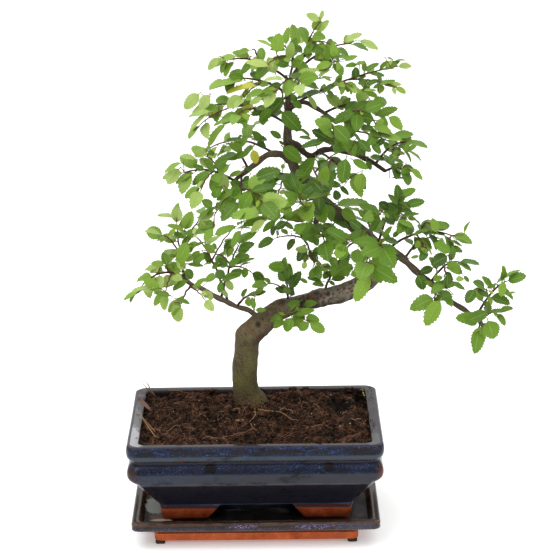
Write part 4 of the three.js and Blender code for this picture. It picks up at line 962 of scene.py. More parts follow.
gritLook = {"count": 40, "sizes": (0.25, 0.62), "margin": 4}
x, y = scatter(gritLook["count"], gritLook["margin"])
sizes = draw(gritLook["sizes"], len(x))
gritPlaces = np.stack([x, y, soilHeight(x, y) + sizes * 0.7], -1)
makeLumps("perliteGrains", gritPlaces, sizes, grit, np.zeros(len(x)))


def softened(z):      # each row of heights with each height averaged with its neighbours
    return (z + np.roll(z, 1, 1) + np.roll(z, -1, 1)) / 3


# Strands that lie on the soil: a line from start to end, bowed sideways by 4 bow t (1 - t), with a small
# wave, at the soil's height plus an arch of lift
def strandLines(start, end, bow, lift, rings=9):
    t = np.linspace(0, 1, rings)[None, :, None]
    bend = bow[:, None, None]
    across = np.stack([-(end - start)[:, 1], (end - start)[:, 0]], -1)[:, None]
    flat = between(start[:, None], end[:, None], t) + across * (bend * 4 * t * (1 - t))
    flat = flat + 0.06 * across * np.sin(t * 9 + bend * 40)
    limit = np.array(soilLook["half"]) - 0.8
    flat = np.clip(flat, -limit, limit)
    z = soilHeight(flat[..., 0], flat[..., 1])
    z = (softened(z) + z) * 0.5
    arch = lift[:, None] * np.sin(math.pi * t[..., 0])
    return np.concatenate([flat, (z + arch)[..., None]], -1)


def makeTubes(name, lines, radii, sides, material, slotName, key, values):      # values along each tube
    count, rings = lines.shape[:2]
    extras = {key: np.repeat(np.broadcast_to(values, (count, rings)), sides)}
    points = manyTubes(lines, radii, sides).reshape(-1, 3)
    return makePiece(name, points, tubeFaces(count, rings, sides), extras, material, slotName)


def makeStrands(name, lines, radii, material, tones, sides=4):
    return makeTubes(name, lines, radii, sides, material, "soil", "tone", tones[:, None])


fibreLook = {
    "count": 820, "length": (3, 16), "radius": (0.08, 0.18), "bow": (-0.25, 0.25), "lift": (0.1, 1.2),
    "tone": 1.7, "deepest": 1.4, "margin": 3,
}


def makeFibres(look):
    x, y = scatter(look["count"], look["margin"])
    angle = dice.uniform(0, 2 * math.pi, len(x))
    length = draw(look["length"], len(x))
    start = np.stack([x, y], -1)
    end = start + wayAt(angle) * length[:, None]
    lines = strandLines(start, end, draw(look["bow"], len(x)), draw(look["lift"], len(x)))
    taper = np.sin(np.linspace(0.25, math.pi - 0.12, lines.shape[1]))[None]
    radii = taper * draw(look["radius"], len(x))[:, None]
    tones = dice.uniform(0, 1, len(x)) ** look["tone"]
    clear = hollowAt(lines[:, 4, 0], lines[:, 4, 1]) < look["deepest"]      # none lies over a deep hollow
    return makeStrands("peatFibres", lines[clear], radii[clear], fibre, tones[clear])


makeFibres(fibreLook)

# Fine roots that lie on the soil
rootTrails = [      # radius at its start, tone, then x, y along the soil
    (0.5, 0.75, [(-2, 24), (2, 17), (5, 12), (12, 11), (18, 11), (23, 7), (28, 0), (35, -7)]),
    (0.42, 0.12, [(18, 9), (12, 9), (7, 10), (2, 8), (-3, 8), (-8, 8)]),
    (0.34, 0.85, [(-1, 18), (0, 6), (-3, -5), (-5, -16), (-3, -26), (0, -33), (4, -38)]),
    (0.6, 0.25, [(-39, -47), (-28, -43), (-17, -37), (-6, -32), (3, -35)]),
    (0.5, 0.1, [(1, -38), (-6, -36), (-15, -40), (-26, -47), (-37, -52)]),
    (0.55, 0.45, [(2, 21), (-5, 19), (-12, 21), (-18, 25), (-25, 27)]),
    (0.5, 0.55, [(-4, 19), (-12, 17), (-19, 21), (-27, 18), (-36, 19)]),
    (0.36, 0.8, [(20, 15), (25, 21), (29, 18), (30, 10)]), (0.3, 0.5, [(70, 8), (76, 20), (83, 24)]),
    (0.3, 0.95, [(77, -2), (85, -10), (90, -22)]), (0.4, 0.3, [(-48, 4), (-36, -4), (-25, -2), (-14, -8)]),
    (0.34, 0.4, [(38, 30), (48, 24), (52, 10), (60, 4)]),
    (0.3, 0.5, [(40, -20), (52, -14), (66, -18), (76, -10)]),
    (0.4, 0.4, [(-84, -20), (-70, -26), (-60, -22), (-46, -30)]),
]
rootLook = {
    "rings": 26, "sides": 7, "lift": 0.9, "wobble": 0.5, "tip": 0.4, "hairs": 46, "foot": (-3, 29),
    "hairStart": (8, 11), "hairEnd": (14, 25), "hairBow": (-0.2, 0.2), "hairLift": (0.3, 1.2),
    "hairRadius": (0.14, 0.34), "hairTip": 0.35, "hairRings": 16,
}


def makeRoots(trails, look):      # each trail through its points, at the soil's height plus lift
    t = np.linspace(0, 1, look["rings"])
    flat = np.array([onPath(trail, t) for _, _, trail in trails])
    flatPlaces = np.dstack([flat, 0 * flat[..., :1]])
    flat = flat + look["wobble"] * np.stack([fieldAt(flatPlaces, 4, 90 + k) for k in range(2)], -1)
    z = soilHeight(flat[..., 0], flat[..., 1])
    z = softened(z)
    z[:, [0, -1]] = z[:, [1, -2]] - look["lift"] * 1.5
    lines = np.concatenate([flat, (z + look["lift"])[..., None]], -1)
    radii = np.array([radius for radius, _, _ in trails])[:, None]
    radii = np.linspace(1, look["tip"], look["rings"])[None] * radii
    tones = np.array([tone for _, tone, _ in trails])
    return makeStrands("longRoots", lines, radii, rootSkin, tones, look["sides"])


def makeHairRoots(look):      # from just inside the bark outwards
    count, rings = look["hairs"], look["hairRings"]
    angle = dice.uniform(-math.pi, math.pi, count)
    inner, outer = draw(look["hairStart"], count), draw(look["hairEnd"], count)
    start, end = (wayAt(angle) * gone[:, None] + np.array(look["foot"]) for gone in (inner, outer))
    bow, lift = draw(look["hairBow"], count), draw(look["hairLift"], count)
    lines = strandLines(start, end, bow, lift, rings)
    radii = np.linspace(1, look["hairTip"], rings)[None] * draw(look["hairRadius"], (count, 1))
    return makeStrands("hairRoots", lines, radii, rootSkin, dice.uniform(0, 0.8, count), sides=6)


makeRoots(rootTrails, rootLook)
makeHairRoots(rootLook)

# Dry twigs and straws that lean on the rim at the left and lie by it at the front right, bowed by
# 4 t (1 - t), each by another amount
strawRows = np.array([      # from x, y, z to x, y, z, radius, tone
    (-96.5, 62, 97.5, -83, 56, 83, 0.5, 0.0), (-92, 60, 98.5, -82.5, 55, 83, 0.55, 0.1),
    (-88.5, 60, 93, -84, 57, 83, 0.4, 0.2), (-96, 10, 88, -78, -44, 83, 0.45, 0.5),
    (-95, 6, 87.5, -76, -40, 82.8, 0.4, 0.3), (-72, 60, 86, -60, 62, 84.5, 0.4, 0.2),
    (82, -49, 85.4, 66, -61, 84.4, 0.4, 0.0), (88, -44, 86, 76, -54, 84.6, 0.3, 0.1),
])
strawLook = {"rings": 10, "sides": 6, "bow": (0.0, 0.6, 1.1), "thinEnd": 0.35}


def makeStraws(rows, look):
    t = np.linspace(0, 1, look["rings"])[None, :, None]
    amount = np.linspace(-1, 1, len(rows))[:, None, None]
    lines = between(rows[:, None, :3], rows[:, None, 3:6], t)
    lines = lines + np.array(look["bow"]) * (4 * t * (1 - t)) * amount
    radii = np.linspace(look["thinEnd"], 1, look["rings"])[None] * rows[:, 6:7]
    return makeStrands("dryStraws", lines, radii, straw, rows[:, 7], look["sides"])


makeStraws(strawRows, strawLook)


# Dry leaf: a pointed blade, half width w sin(pi t)^0.8, cupped by 1.2 u^2 and arched over its length
def makeDryLeaf(name, start, end, halfWidth, arch, tone, thickness=0.3):
    t = np.linspace(0, 1, 14)[:, None]
    u = np.linspace(-1, 1, 7)[None]
    start, end = np.array(start), np.array(end)
    side = unit(np.cross(end - start, upward))
    width = halfWidth * np.sin(math.pi * np.clip(t, 0.02, 0.98)) ** 0.8
    line = start + (end - start) * t[..., None] + upward * (arch * t * (1 - t))[..., None]
    upper = line + side * (u * width)[..., None] + upward * (1.2 * u ** 2)[..., None]
    points = np.concatenate([upper.reshape(-1, 3), (upper - upward * thickness).reshape(-1, 3)])
    rows, columns = upper.shape[:2]
    rim = gridRim(rows, columns)
    wall = np.stack([rim, np.roll(rim, -1), np.roll(rim, -1) + rows * columns, rim + rows * columns], -1)
    top = gridFaces(rows, columns)
    faces = [top, top[:, ::-1] + rows * columns, wall[:, ::-1]]
    return makePiece(name, points, faces, {"tone": np.full(len(points), tone)}, straw, "soil")


makeDryLeaf("budScale", (-96.5, 34, 88.6), (-84, 13.5, 83.6), 2.1, 2.2, 0.0)      # on the left wall
fallen = soilHeight(np.array([-16.0, -7.0]), np.array([-14.0, -16.0])) + 1.1
makeDryLeaf("fallenLeaf", (-16, -14, fallen[0]), (-7, -16, fallen[1]), 2.6, 1.0, 0.35)

seedPlaces = np.array([
    (87.6, 62, 85), (88, 60, 85.4), (88.2, 57, 85), (88.6, 54.5, 84.8), (88, 52, 84.6), (88.8, 48, 84.2),
    (87, 58.6, 85.2), (88.4, 50, 84.6),
])
seedPlaces = seedPlaces + dice.uniform(-0.4, 0.4, seedPlaces.shape)
seedSizes = dice.uniform(0.4, 0.85, len(seedPlaces))
makeLumps("yellowSeeds", seedPlaces, seedSizes, seedSkin, dice.uniform(0.4, 1, len(seedPlaces)))
print("scene: soil made")


# Trunk and limbs

# x, y, z and radius at points along each, as the solids have them, apart from leftLow, which is thinner
# where it leaves the trunk
limbs = {
    "trunk": [
        (-3, 30, 69, 9), (-3, 30, 79, 10.5), (-4, 30, 86, 12.5), (-7, 30, 94, 10.8), (-8, 29, 108, 9.7),
        (-6, 27, 135, 9.2), (-3, 26, 145, 9.8), (7, 26, 154, 9.2), (15, 27, 161, 8.2), (26, 28, 166, 7.3),
        (38, 28, 170, 6.5), (50, 26, 173, 7.1), (63, 24, 177, 7), (74, 22, 181, 7.1), (86, 22, 187, 6.8),
        (96, 24, 194, 6.5), (101, 28, 204, 6.3), (97, 31, 215, 6), (87, 32, 226, 5.7), (76, 31, 236, 5.4),
        (66, 29, 244, 5.2), (55, 27, 254, 4.9), (44, 26, 266, 4.6), (34, 26, 280, 4.3), (30, 26, 293, 4),
        (28, 26, 307, 3.6), (29, 27, 321, 3.2), (29, 28, 333, 2.8), (28, 28, 343, 2.1)],
    "leftLow": [
        (7, 27, 155, 2.1), (-4, 24, 165, 2), (-14, 19, 170, 2), (-22, 13, 176, 2.1), (-29, 8, 181, 2.1),
        (-39, 2, 189, 1.9), (-50, -3, 196, 1.7), (-56, -6, 203, 1.5)],
    "rightLow": [
        (100, 31, 213, 3.4), (109, 22, 215, 3.2), (118, 13, 210, 2.9), (129, 5, 201, 2.6),
        (141, -1, 192, 2.3), (152, -6, 182, 2.1), (167, -11, 173, 1.8), (179, -14, 164, 1.5)],
    "leftMid": [
        (29, 26, 289, 3), (22, 20, 294, 2.7), (12, 13, 295, 2.5), (2, 6, 289, 2.2), (-6, 1, 284, 1.9),
        (-14, -5, 279, 1.5)],
    "rightMid": [
        (28, 26, 302, 2.8), (35, 30, 299, 2.7), (41, 34, 292, 2.5), (47, 37, 288, 2.4), (54, 38, 292, 2.3),
        (62, 39, 293, 2.2), (74, 39, 291, 2.1), (84, 37, 288, 2), (94, 34, 284, 1.8), (105, 30, 277, 1.5)],
    "upperRight": [(29, 27, 329, 2.2), (40, 22, 335, 1.9), (53, 15, 330, 1.7), (66, 8, 321, 1.5)],
    "hanging": [(64, 30, 245, 2.6), (52, 24, 242, 2.3), (48, 19, 234, 1.9), (37, 14, 231, 1.5)],
    "apex": [(29, 28, 338, 2.1), (31, 26, 352, 1.8), (39, 22, 364, 1.5)],
    "stub": [(99, 28, 207, 3.6), (108, 22, 206, 3.4), (113, 19, 205, 3.1)],
}
barkLook = {
    "spacing": 1.1, "trunkSides": 56, "limbSides": 20, "plates": 0.34, "fine": 0.14, "collar": 0.45,
    "collarReach": 6, "wave": 0.1, "smoothFrom": (112, 130), "smoothTo": (214, 240), "shadeFrom": (62, 84),
    "scars": [(88, 5, 0.8), (144, 0.8, 0.9)], "scarHeight": 0.35,      # way along, lean, width
    "ringsAt": (51, 58, 118, 122, 142, 150, 172, 191, 205, 236), "ringHeight": 0.28, "ringWidth": 1.3,
    "rootHeights": (76, 93), "ridges": [(-25, 6, 0.75), (-95, 2.4, 0.5), (165, 1.5, 0.4), (70, 2.5, 0.4)],
    "knots": [      # x, y, z, reach, height
        (-14, 26, 146.5, 5, 1.6), (-13, 25, 138.5, 3.5, -0.7), (3, 17, 155.5, 3, 0.8), (3, 26, 127.5, 3, 0.8),
        (23, 21, 175.5, 3, 2.4), (20, 27, 168, 5.5, 2.6), (51, 25, 179, 5, 1.6), (-12, 27, 137, 5, 1.5),
        (70, 24, 172, 4.5, 1.4), (26, 20, 172, 5, 1.6), (-2, 20, 118, 7, 0.6), (12, 18, 160, 4, 1.0),
        (38, 22, 163, 4, -0.9), (60, 19, 180, 3.5, 0.9), (90, 16, 184, 4, 1.2), (96, 30, 196, 5, 1.1),
        (4, 36, 150, 5, 1.2), (-17, 30, 118, 13, 1.1), (98, 24, 179, 9, 1.7), (84, 22, 174, 8, 1.2)],
    "darkKnots": [      # x, y, z, reach
        (23, 20, 176, 4.4), (38, 21, 177, 4.5), (44, 21, 178, 4.6), (50, 18.5, 174.5, 2), (49.5, 19, 170, 2),
        (3, 17, 155.5, 2.6), (49, 20, 178, 5), (45, 20, 181, 4), (22, 22, 174, 5.4), (59, 18, 180, 2.4),
        (56, 20, 170, 2.2), (38, 20, 172, 2.6), (108, 22, 206, 6), (76, 22, 240, 7), (100, 24, 196, 5),
        (29, 24, 300, 4)],
    "shade": {"rightMid": 0.75, "upperRight": 0.55, "apex": 0.5, "hanging": 0.6, "stub": 0.7, "leftMid": 0.15,
              "rightLow": 0.45, "leftLow": 0},
}


# Radius = the path's own, plus a ridge toward each root near the soil, strength exp(-(turn / spread)^2),
# plus plates, fine bark, knots, and on the trunk a wire's scars and rings. A limb swells by
# 1 + collar exp(-along / collarReach) where it leaves its parent. The values for the bark's colours ride
# along as attributes.
def makeLimb(name, rows, look):
    path = np.array(rows, float)
    reach = np.linalg.norm(np.diff(path[:, :3], axis=0), axis=1).sum()
    rings = int(reach / look["spacing"]) + 2
    isTrunk, isStub = name == "trunk", name == "stub"
    sides = look["trunkSides"] if isTrunk else look["limbSides"]
    t = np.linspace(0, 1, rings)
    along = t * reach
    placed = onPath(path, t)
    line, radius = placed[:, :3], placed[:, 3]
    if not isTrunk:
        radius = radius * (1 + look["collar"] * np.exp(-along / look["collarReach"]))
        radius = radius * (1 + look["wave"] * np.sin(along * 0.42 + len(name)))
    heading, side, other = carriedSides(line)
    angle = np.arange(sides) * 2 * math.pi / sides
    outward = side[:, None] * np.cos(angle)[:, None] + other[:, None] * np.sin(angle)[:, None]
    everywhere = np.ones((rings, sides))
    reachOut = radius[:, None] * everywhere
    if isTrunk:
        compass = np.arctan2(outward[..., 1], outward[..., 0])
        nearSoil = 1 - smoothStep(line[:, 2], *look["rootHeights"])
        for toward, strength, spread in look["ridges"]:
            turned = np.angle(np.exp(1j * (compass - math.radians(toward))))
            reachOut += strength * nearSoil[:, None] * np.exp(-(turned / spread) ** 2)
    skin = line[:, None] + outward * reachOut[..., None]
    big = np.minimum(radius / 8, 1)[:, None]
    relief = roughField(skin * np.array([1, 1, 0.6]), 9, 3, 60) * look["plates"] * (0.4 + big)
    relief += roughField(skin, 2.6, 2, 70) * look["fine"]
    for *middle, size, height in look["knots"]:
        relief += height * np.exp(-(gapTo(skin, middle) / size) ** 2) * (radius > 2.5)[:, None]
    # painted shade: under grows as the skin faces down
    under = np.clip(-outward[..., 2] * 1.6 - 0.1, 0, 1)
    scar, knotty, cut = 0 * everywhere, 0 * everywhere, 0 * everywhere
    smoothBark, shaded = 0.3 * everywhere, look["shade"].get(name, 0.0) * everywhere
    if isTrunk:
        for at, lean, thick in look["scars"]:
            away = np.abs(along[:, None] - at - lean * np.cos(angle - 1.2)[None])
            scar = np.maximum(scar, np.exp(-(away / thick) ** 2))
        relief += scar * look["scarHeight"]
        for at in look["ringsAt"]:
            away = along[:, None] - at - 1.4 * np.sin(angle)[None]
            relief += look["ringHeight"] * np.exp(-(away / look["ringWidth"]) ** 2)
        upper = smoothStep(along, *look["smoothTo"])[:, None]
        smoothBark = everywhere * smoothStep(along, *look["smoothFrom"])[:, None] * (1 - 0.6 * upper)
        shaded = everywhere * 0.45 * upper
        # painted shade: low down, the trunk's right side, away from the light, is darkened through under
        low = 1 - smoothStep(along, *look["shadeFrom"])      # low down the trunk's right side is darker too
        under = np.maximum(under, np.clip(outward[..., 0] * 0.9 - 0.35, 0, 1) * low[:, None] * 0.7)
    for *middle, size in look["darkKnots"]:
        knotty = np.maximum(knotty, 1 - smoothStep(gapTo(skin, middle), size * 0.5, size * 1.2))
    if isStub:
        cut[-1] = 1
    skin = skin + outward * relief[..., None]
    young = np.clip(1 - radius / 5, 0, 0.9)[:, None] * everywhere
    way = np.stack(np.broadcast_arrays(angle[None] * 0.8, along[:, None] / 10), -1).reshape(-1, 2)
    ends = np.stack([line[0], line[-1] + heading[-1] * (0.3 if isStub else 1.0)])
    count = rings * sides
    faces = [gridFaces(rings, sides, True), fanFaces(np.arange(sides), count, flip=True),
             fanFaces(np.arange(sides) + count - sides, count + 1)]
    values = {"young": young, "scar": scar, "cut": cut, "knotty": knotty, "under": under,
              "smoothBark": smoothBark, "shaded": shaded}
    values = {key: np.append(value.ravel(), [value[0, 0], value[-1, 0]]) for key, value in values.items()}
    values["barkWay"] = np.concatenate([way, way[[0, -1]]])
    return np.concatenate([skin.reshape(-1, 3), ends]), faces, values


limbSkins = [makeLimb(name, rows, barkLook) for name, rows in limbs.items()]
wood = makePiece("barkTrunk", *joined(limbSkins), bark, "bark")
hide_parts("trunk_and_limbs")
print("scene: trunk and limbs made")


# Twigs and leaves

# Twigs as the solids have them: the limb, then each twig's share of its parent's length, the x, y and z of
# its tip, and its lift. The first grows from the limb, and the others from the first.
sprays = {
    "left_tip": ("leftLow", (1, -86, -22, 201, 6), (0.35, -71, -2, 217, 3), (0.25, -68, -34, 197, 2)),
    "left_hanging": ("leftLow", (0.8, -56, -28, 187, 5), (0.4, -38, -34, 192, 2)),
    "left_rising": ("leftLow", (0.93, -60, 12, 240, -4), (0.55, -37, 20, 248, 4), (0.5, -70, -6, 236, 4)),
    "left_middle": ("leftLow", (0.52, -12, 30, 217, 4), (0.5, -1, 38, 192, 3), (0.55, -30, 20, 213, 3)),
    "left_under": ("leftLow", (0.28, 1, 0, 184, 4)),
    "mid_left_tip": ("leftMid", (1, -52, -18, 289, 5), (0.4, -39, -34, 279, 3), (0.3, -35, -4, 298, 3)),
    "mid_left_up": ("leftMid", (0.72, -20, 20, 303, 5), (0.5, 0, 34, 304, 4)),
    "mid_left_front": ("leftMid", (0.85, -9, -48, 263, 2), (0.45, 8, -58, 275, 4), (0.35, -29, -44, 261, 3)),
    "centre_left": ("trunk", (0.8, 12, -22, 285, 4), (0.5, 18, -44, 269, 2)),
    "centre_front": ("trunk", (0.72, 38, -40, 269, 6), (0.5, 53, -44, 284, 3)),
    "hanging_low": ("hanging", (1, 48, 4, 209, 3), (0.25, 18, 16, 227, 2)),
    "hanging_front": ("hanging", (0.6, 55, -38, 239, 5), (0.5, 38, -50, 257, 3)),
    "upper_left": ("trunk", (0.915, -32, 2, 337, 7), (0.5, -39, -20, 327, 5), (0.35, -10, -22, 335, 3)),
    "upper_left_high": ("apex", (0.1, -19, 16, 354, 6), (0.4, -5, -8, 345, 2)),
    "top_left": ("apex", (0.45, -19, 32, 367, 7), (0.5, 1, 24, 376, 4)),
    "apex": ("apex", (1, 48, 20, 390, 2), (0.5, 61, 8, 383, 3)),
    "apex_left": ("apex", (0.8, 26, 26, 379, 3), (0.4, 13, 6, 368, 3)),
    "top_right": ("apex", (0.6, 77, 26, 380, 6), (0.5, 64, 4, 370, 3)),
    "apex_front": ("apex", (0.3, 37, -26, 359, 6), (0.5, 19, -30, 354, 3)),
    "fine_right": ("trunk", (0.955, 113, 4, 366, 4), (0.55, 110, -10, 353, 2), (0.4, 77, -14, 354, 3)),
    "upper_right": ("upperRight", (1, 88, -14, 334, 4), (0.3, 71, -22, 314, 2)),
    "upper_right_tip": ("upperRight", (0.75, 106, 14, 325, 8), (0.6, 98, -8, 317, 3)),
    "mid_right": ("rightMid", (0.92, 121, 22, 302, 5), (0.5, 114, 2, 296, 2)),
    "mid_right_tip": ("rightMid", (1, 122, 20, 278, 3)),
    "mid_right_front": ("rightMid", (0.55, 77, -22, 308, 6), (0.5, 62, -26, 321, 3)),
    "right_hanging": ("rightMid", (0.42, 76, -4, 280, 3), (0.4, 59, -6, 285, 2)),
    "right_centre": ("trunk", (0.6, 114, 10, 255, 8), (0.5, 94, -18, 254, 4), (0.7, 121, -2, 245, 3)),
    "centre_big": ("trunk", (0.585, 87, -50, 225, 8), (0.6, 100, -46, 235, 3), (0.45, 71, -44, 238, 4)),
    "centre_low": ("trunk", (0.63, 66, -22, 217, 6)),
    "right_rising": ("rightLow", (0.12, 157, 18, 227, 8), (0.5, 140, 24, 235, 4), (0.4, 137, -4, 220, 3)),
    "right_knee": ("rightLow", (0.55, 161, 2, 210, 5), (0.5, 150, -16, 194, 3)),
    "right_big": ("rightLow", (0.6, 141, -24, 186, 3)),
    "right_end": ("rightLow", (0.93, 197, -18, 199, 5), (0.4, 180, -30, 196, 3)),
    "right_end_low": ("rightLow", (1, 175, -30, 163, 4), (0.4, 190, -26, 177, 2)),
    "knot": ("trunk", (0.405, 67, 18, 203, 4), (0.5, 51, 6, 208, 3)),
    "burl": ("trunk", (0.325, 26, 16, 199, 3), (0.35, 11, 4, 193, 2)),
    "under_bend": ("trunk", (0.355, 40, 0, 164, 2), (0.3, 24, -8, 168, 2)),
    "back_left": ("leftMid", (0.3, -34, 86, 285, 8), (0.5, 0, 100, 300, 3)),
    "back_left_low": ("leftLow", (0.4, -46, 62, 216, 8), (0.5, -14, 74, 222, 3)),
    "back_centre": ("trunk", (0.745, 44, 104, 268, 8), (0.5, 78, 94, 282, 3)),
    "back_right": ("rightMid", (0.55, 96, 100, 296, 7), (0.5, 126, 78, 282, 3)),
    "back_upper": ("trunk", (0.9, 22, 88, 334, 8), (0.5, 54, 82, 342, 3)),
    "back_high": ("apex", (0.2, 36, 72, 374, 5)),
    "back_low": ("trunk", (0.565, 88, 98, 228, 8), (0.5, 118, 84, 240, 3)),
    "back_right_low": ("rightLow", (0.3, 150, 58, 214, 7)),
}


twigLook = {
    "rings": 18, "sides": 7, "buds": 7, "zigzag": 0.45, "wander": 0.35, "budSwell": 0.12,
    "mainRadii": (1.05, 0.5), "sideRadii": (0.72, 0.36),
}


# Twig: root + (tip - root) t + up * 4 lift t (1 - t), with a small zigzag from bud to bud
def growTwigs(table, look):
    lines, radii, mains = [], [], []
    t = np.linspace(0, 1, look["rings"])
    buds = t * math.pi * look["buds"]
    swell = np.sin(math.pi * t)
    for limb, *twigRows in table.values():
        parent = np.array(limbs[limb], float)[:, :3]
        for order, (share, *tip, lift) in enumerate(twigRows):
            root = onPath(parent, np.array([share]))[0]
            line = root + (np.array(tip) - root) * t[:, None] + upward * 4 * lift * (t * (1 - t))[:, None]
            if order == 0:
                parent = line
            across = unit(np.cross(tip - root, upward))
            wander = np.stack([fieldAt(line + k * 50, 9, 80 + k) for k in range(3)], -1)
            line = line + across * (np.sin(buds) * look["zigzag"] * swell)[:, None]
            line = line + look["wander"] * swell[:, None] * wander
            thick, thin = look["sideRadii"] if order else look["mainRadii"]
            lines.append(line)
            radii.append(thick + (thin - thick) * t + look["budSwell"] * np.abs(np.sin(buds + 0.8)))
            mains.append(0.0 if order else 1.0)
    return np.array(lines), np.array(radii), np.array(mains)


twigLines, twigRadii, twigMains = growTwigs(sprays, twigLook)


# A blade in a CAD spray is two midrib points 1.1 mm apart, across a chain of rim edges. Its axes, length,
# width and droop follow from the chain's tip and widest points.
def bladesOf(name):
    bladeThickness, midribShare = 1.1, 0.42
    copy = bmesh.new()
    copy.from_mesh(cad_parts[name].data)
    bmesh.ops.remove_doubles(copy, verts=copy.verts, dist=2e-6)
    copy.verts.ensure_lookup_table()
    place = np.array([v.co for v in copy.verts]) * 1000 - potMiddle * 1000
    rims = {}
    for edge in copy.edges:
        if len(edge.link_faces) != 2:
            continue
        ends = {v.index for v in edge.verts}
        tops = [next(v.index for v in face.verts if v.index not in ends) for face in edge.link_faces]
        if abs(np.linalg.norm(place[tops[0]] - place[tops[1]]) - bladeThickness) < 0.01:
            rims.setdefault(tuple(sorted(tops)), []).append(tuple(ends))
    copy.free()
    blades = []
    for (a, b), edges in rims.items():
        links = {}
        for p, q in edges:
            links.setdefault(p, []).append(q)
            links.setdefault(q, []).append(p)
        ends = [p for p, near in links.items() if len(near) == 1]
        if len(ends) != 2 or len(edges) not in (4, 6, 8):
            continue
        chain = [ends[0]]
        while len(chain) <= len(edges):
            following = [q for q in links[chain[-1]] if q not in chain]
            if not following:
                break
            chain.append(following[0])
        if len(chain) != len(edges) + 1:
            continue
        rim = place[chain]
        tip = rim[len(edges) // 2]
        centre = (place[a] + place[b]) / 2
        normal = unit(place[a] - place[b])
        if (rim[1:-1].mean(0) + rim[[0, -1]].mean(0) - 2 * centre) @ normal < 0:
            normal = -normal
        along = tip - centre
        direction = unit(along - normal * (along @ normal))
        length = along @ direction / (1 - midribShare)
        droop = -(along @ normal) / (length * (1 - midribShare ** 2))
        side = np.cross(direction, normal)
        width = 2 * np.abs((rim - centre) @ side).max()
        start = centre - direction * midribShare * length + normal * droop * length * midribShare ** 2
        blades.append(np.concatenate([start, direction, normal, [length, width, droop]]))
    return blades


# Blade: half width w(s) = s^0.55 (1 - s)^0.75 scaled to 1, cut into teeth that point to the tip. It rises
# from the midrib by fold |u|, falls by droop s^2, and ripples by a sine along each margin. Leaf rows hold
# the stalk's end, direction, normal, length, width and droop, in twelve columns.
bladeLook = {
    "rows": 16, "teeth": 0.11, "toothLean": 0.55, "fold": 0.18, "thickness": 0.2, "stalk": 2.4,
    "stalkHalf": 0.3, "tipHalf": 0.02, "ripple": 0.04, "ripplePhase": 6.28, "widths": (0.95, 1.15),
}


def makeLeaves(name, leafRows, tone, youth, look=bladeLook):
    count = len(leafRows)
    start, direction, normal = leafRows[:, :3], leafRows[:, 3:6], leafRows[:, 6:9]
    length, width, droop = leafRows[:, 9:].T
    side = np.cross(direction, normal)
    s = np.linspace(0, 1, look["rows"])
    shape = s ** 0.55 * (1 - s) ** 0.75
    pointed = np.arange(look["rows"]) % 2 == 1
    half = shape / shape.max() * np.where(pointed, 1.04, 1 - look["teeth"])
    lean = np.where(pointed & (s < 0.95), look["toothLean"] / look["rows"], 0)
    rows = look["rows"] + 2      # two more rows for the stalk, at shares below 0
    alongRim = np.concatenate([[-1, -0.05], s + lean])[None]
    alongMid = np.concatenate([[-1, -0.05], s])[None]
    longWay, wideWay = length[:, None], (width * draw(look["widths"], count))[:, None]
    stalkRows = np.concatenate([[1, 1], np.maximum(0.9 - s * 3, 0)])[None] * (0.6 + 0.05 * longWay)
    halfWidth = np.maximum(np.concatenate([[0, 0], half])[None] * wideWay / 2, look["stalkHalf"] * stalkRows)
    halfWidth[:, -1] = look["tipHalf"]
    thick = look["thickness"] * np.concatenate([[1.3, 1.3], 1.15 - s])[None] * np.ones((count, 1))

    def at(share, across, lift):
        way = np.where(share < 0, share * look["stalk"], share * longWay)
        sag = droop[:, None] * longWay * np.maximum(share, 0) ** 2
        return (start[:, None] + direction[:, None] * way[..., None] + side[:, None] * across[..., None]
                + normal[:, None] * (lift - sag)[..., None])

    phase = dice.uniform(0, look["ripplePhase"], (count, 1))
    ripple = look["ripple"] * wideWay * np.sin(alongRim * 9 + phase) * np.clip(halfWidth * 2 / wideWay, 0, 1)
    rise = look["fold"] * halfWidth * 2
    points = np.stack([at(alongRim, halfWidth, rise + ripple), at(alongMid, 0 * halfWidth, thick),
                       at(alongRim, -halfWidth, rise - ripple), at(alongMid, 0 * halfWidth, -thick)], 2)
    offsets = (np.arange(count) * rows * 4)[:, None, None]
    ends = np.array([[0, 1, 2, 3], [3, 2, 1, 0]]) + np.array([[0], [(rows - 1) * 4]])
    walls = gridFaces(rows, 4, True)[:, ::-1]
    faces = [(block + offsets).reshape(-1, 4) for block in (walls, ends)]
    isUnder = np.tile(np.arange(4) >= 2, rows - 1).astype(int)
    materialOf = np.concatenate([np.tile(isUnder, count), np.zeros(2 * count, int)])
    across = np.broadcast_to(np.array([1.0, 0.5, 0.0, 0.5]), (rows, 4))
    along = np.broadcast_to(np.clip(alongMid.T, 0, 1), (rows, 4))
    extras = {"bladeWay": np.tile(np.stack([across, along], -1).reshape(-1, 2), (count, 1)),
              "tone": np.repeat(tone, rows * 4), "youth": np.repeat(youth, rows * 4)}
    creases = np.tile(np.array([True, False, True, False]), count * rows)
    return makePiece(name, points.reshape(-1, 3), faces, extras, [leafUpper, leafUnder], "leaf", materialOf,
                     creases=creases)


blades = np.array([row for name in sprayNodes for row in bladesOf(name)])
print("scene:", len(blades), "blades found in", len(sprayNodes), "sprays")

toneLook = {"middle": 0.5, "front": 0.2, "inside": 0.16, "spread": 0.24, "left": 0.36, "top": 0.27}
crownLook = {
    "axis": (45, 28), "extraPerTwig": 4, "sizes": (5, 9), "widths": (0.5, 0.62), "droops": (0.02, 0.2),
    "angles": (35, 75), "sinks": (0, 0.35), "shares": (0.18, 0.98), "turned": 0.45, "stalk": 2.2,
    "clear": 7.0,
}


# painted light: leaves at the left and the top of the crown are made paler, as if lit from the upper left
def paler(places):      # leaves at the left and the top of the crown are paler
    left = np.clip((10 - places[:, 0]) / 60, 0, 1)
    return toneLook["left"] * left + toneLook["top"] * np.clip((places[:, 2] - 300) / 60, 0, 1)


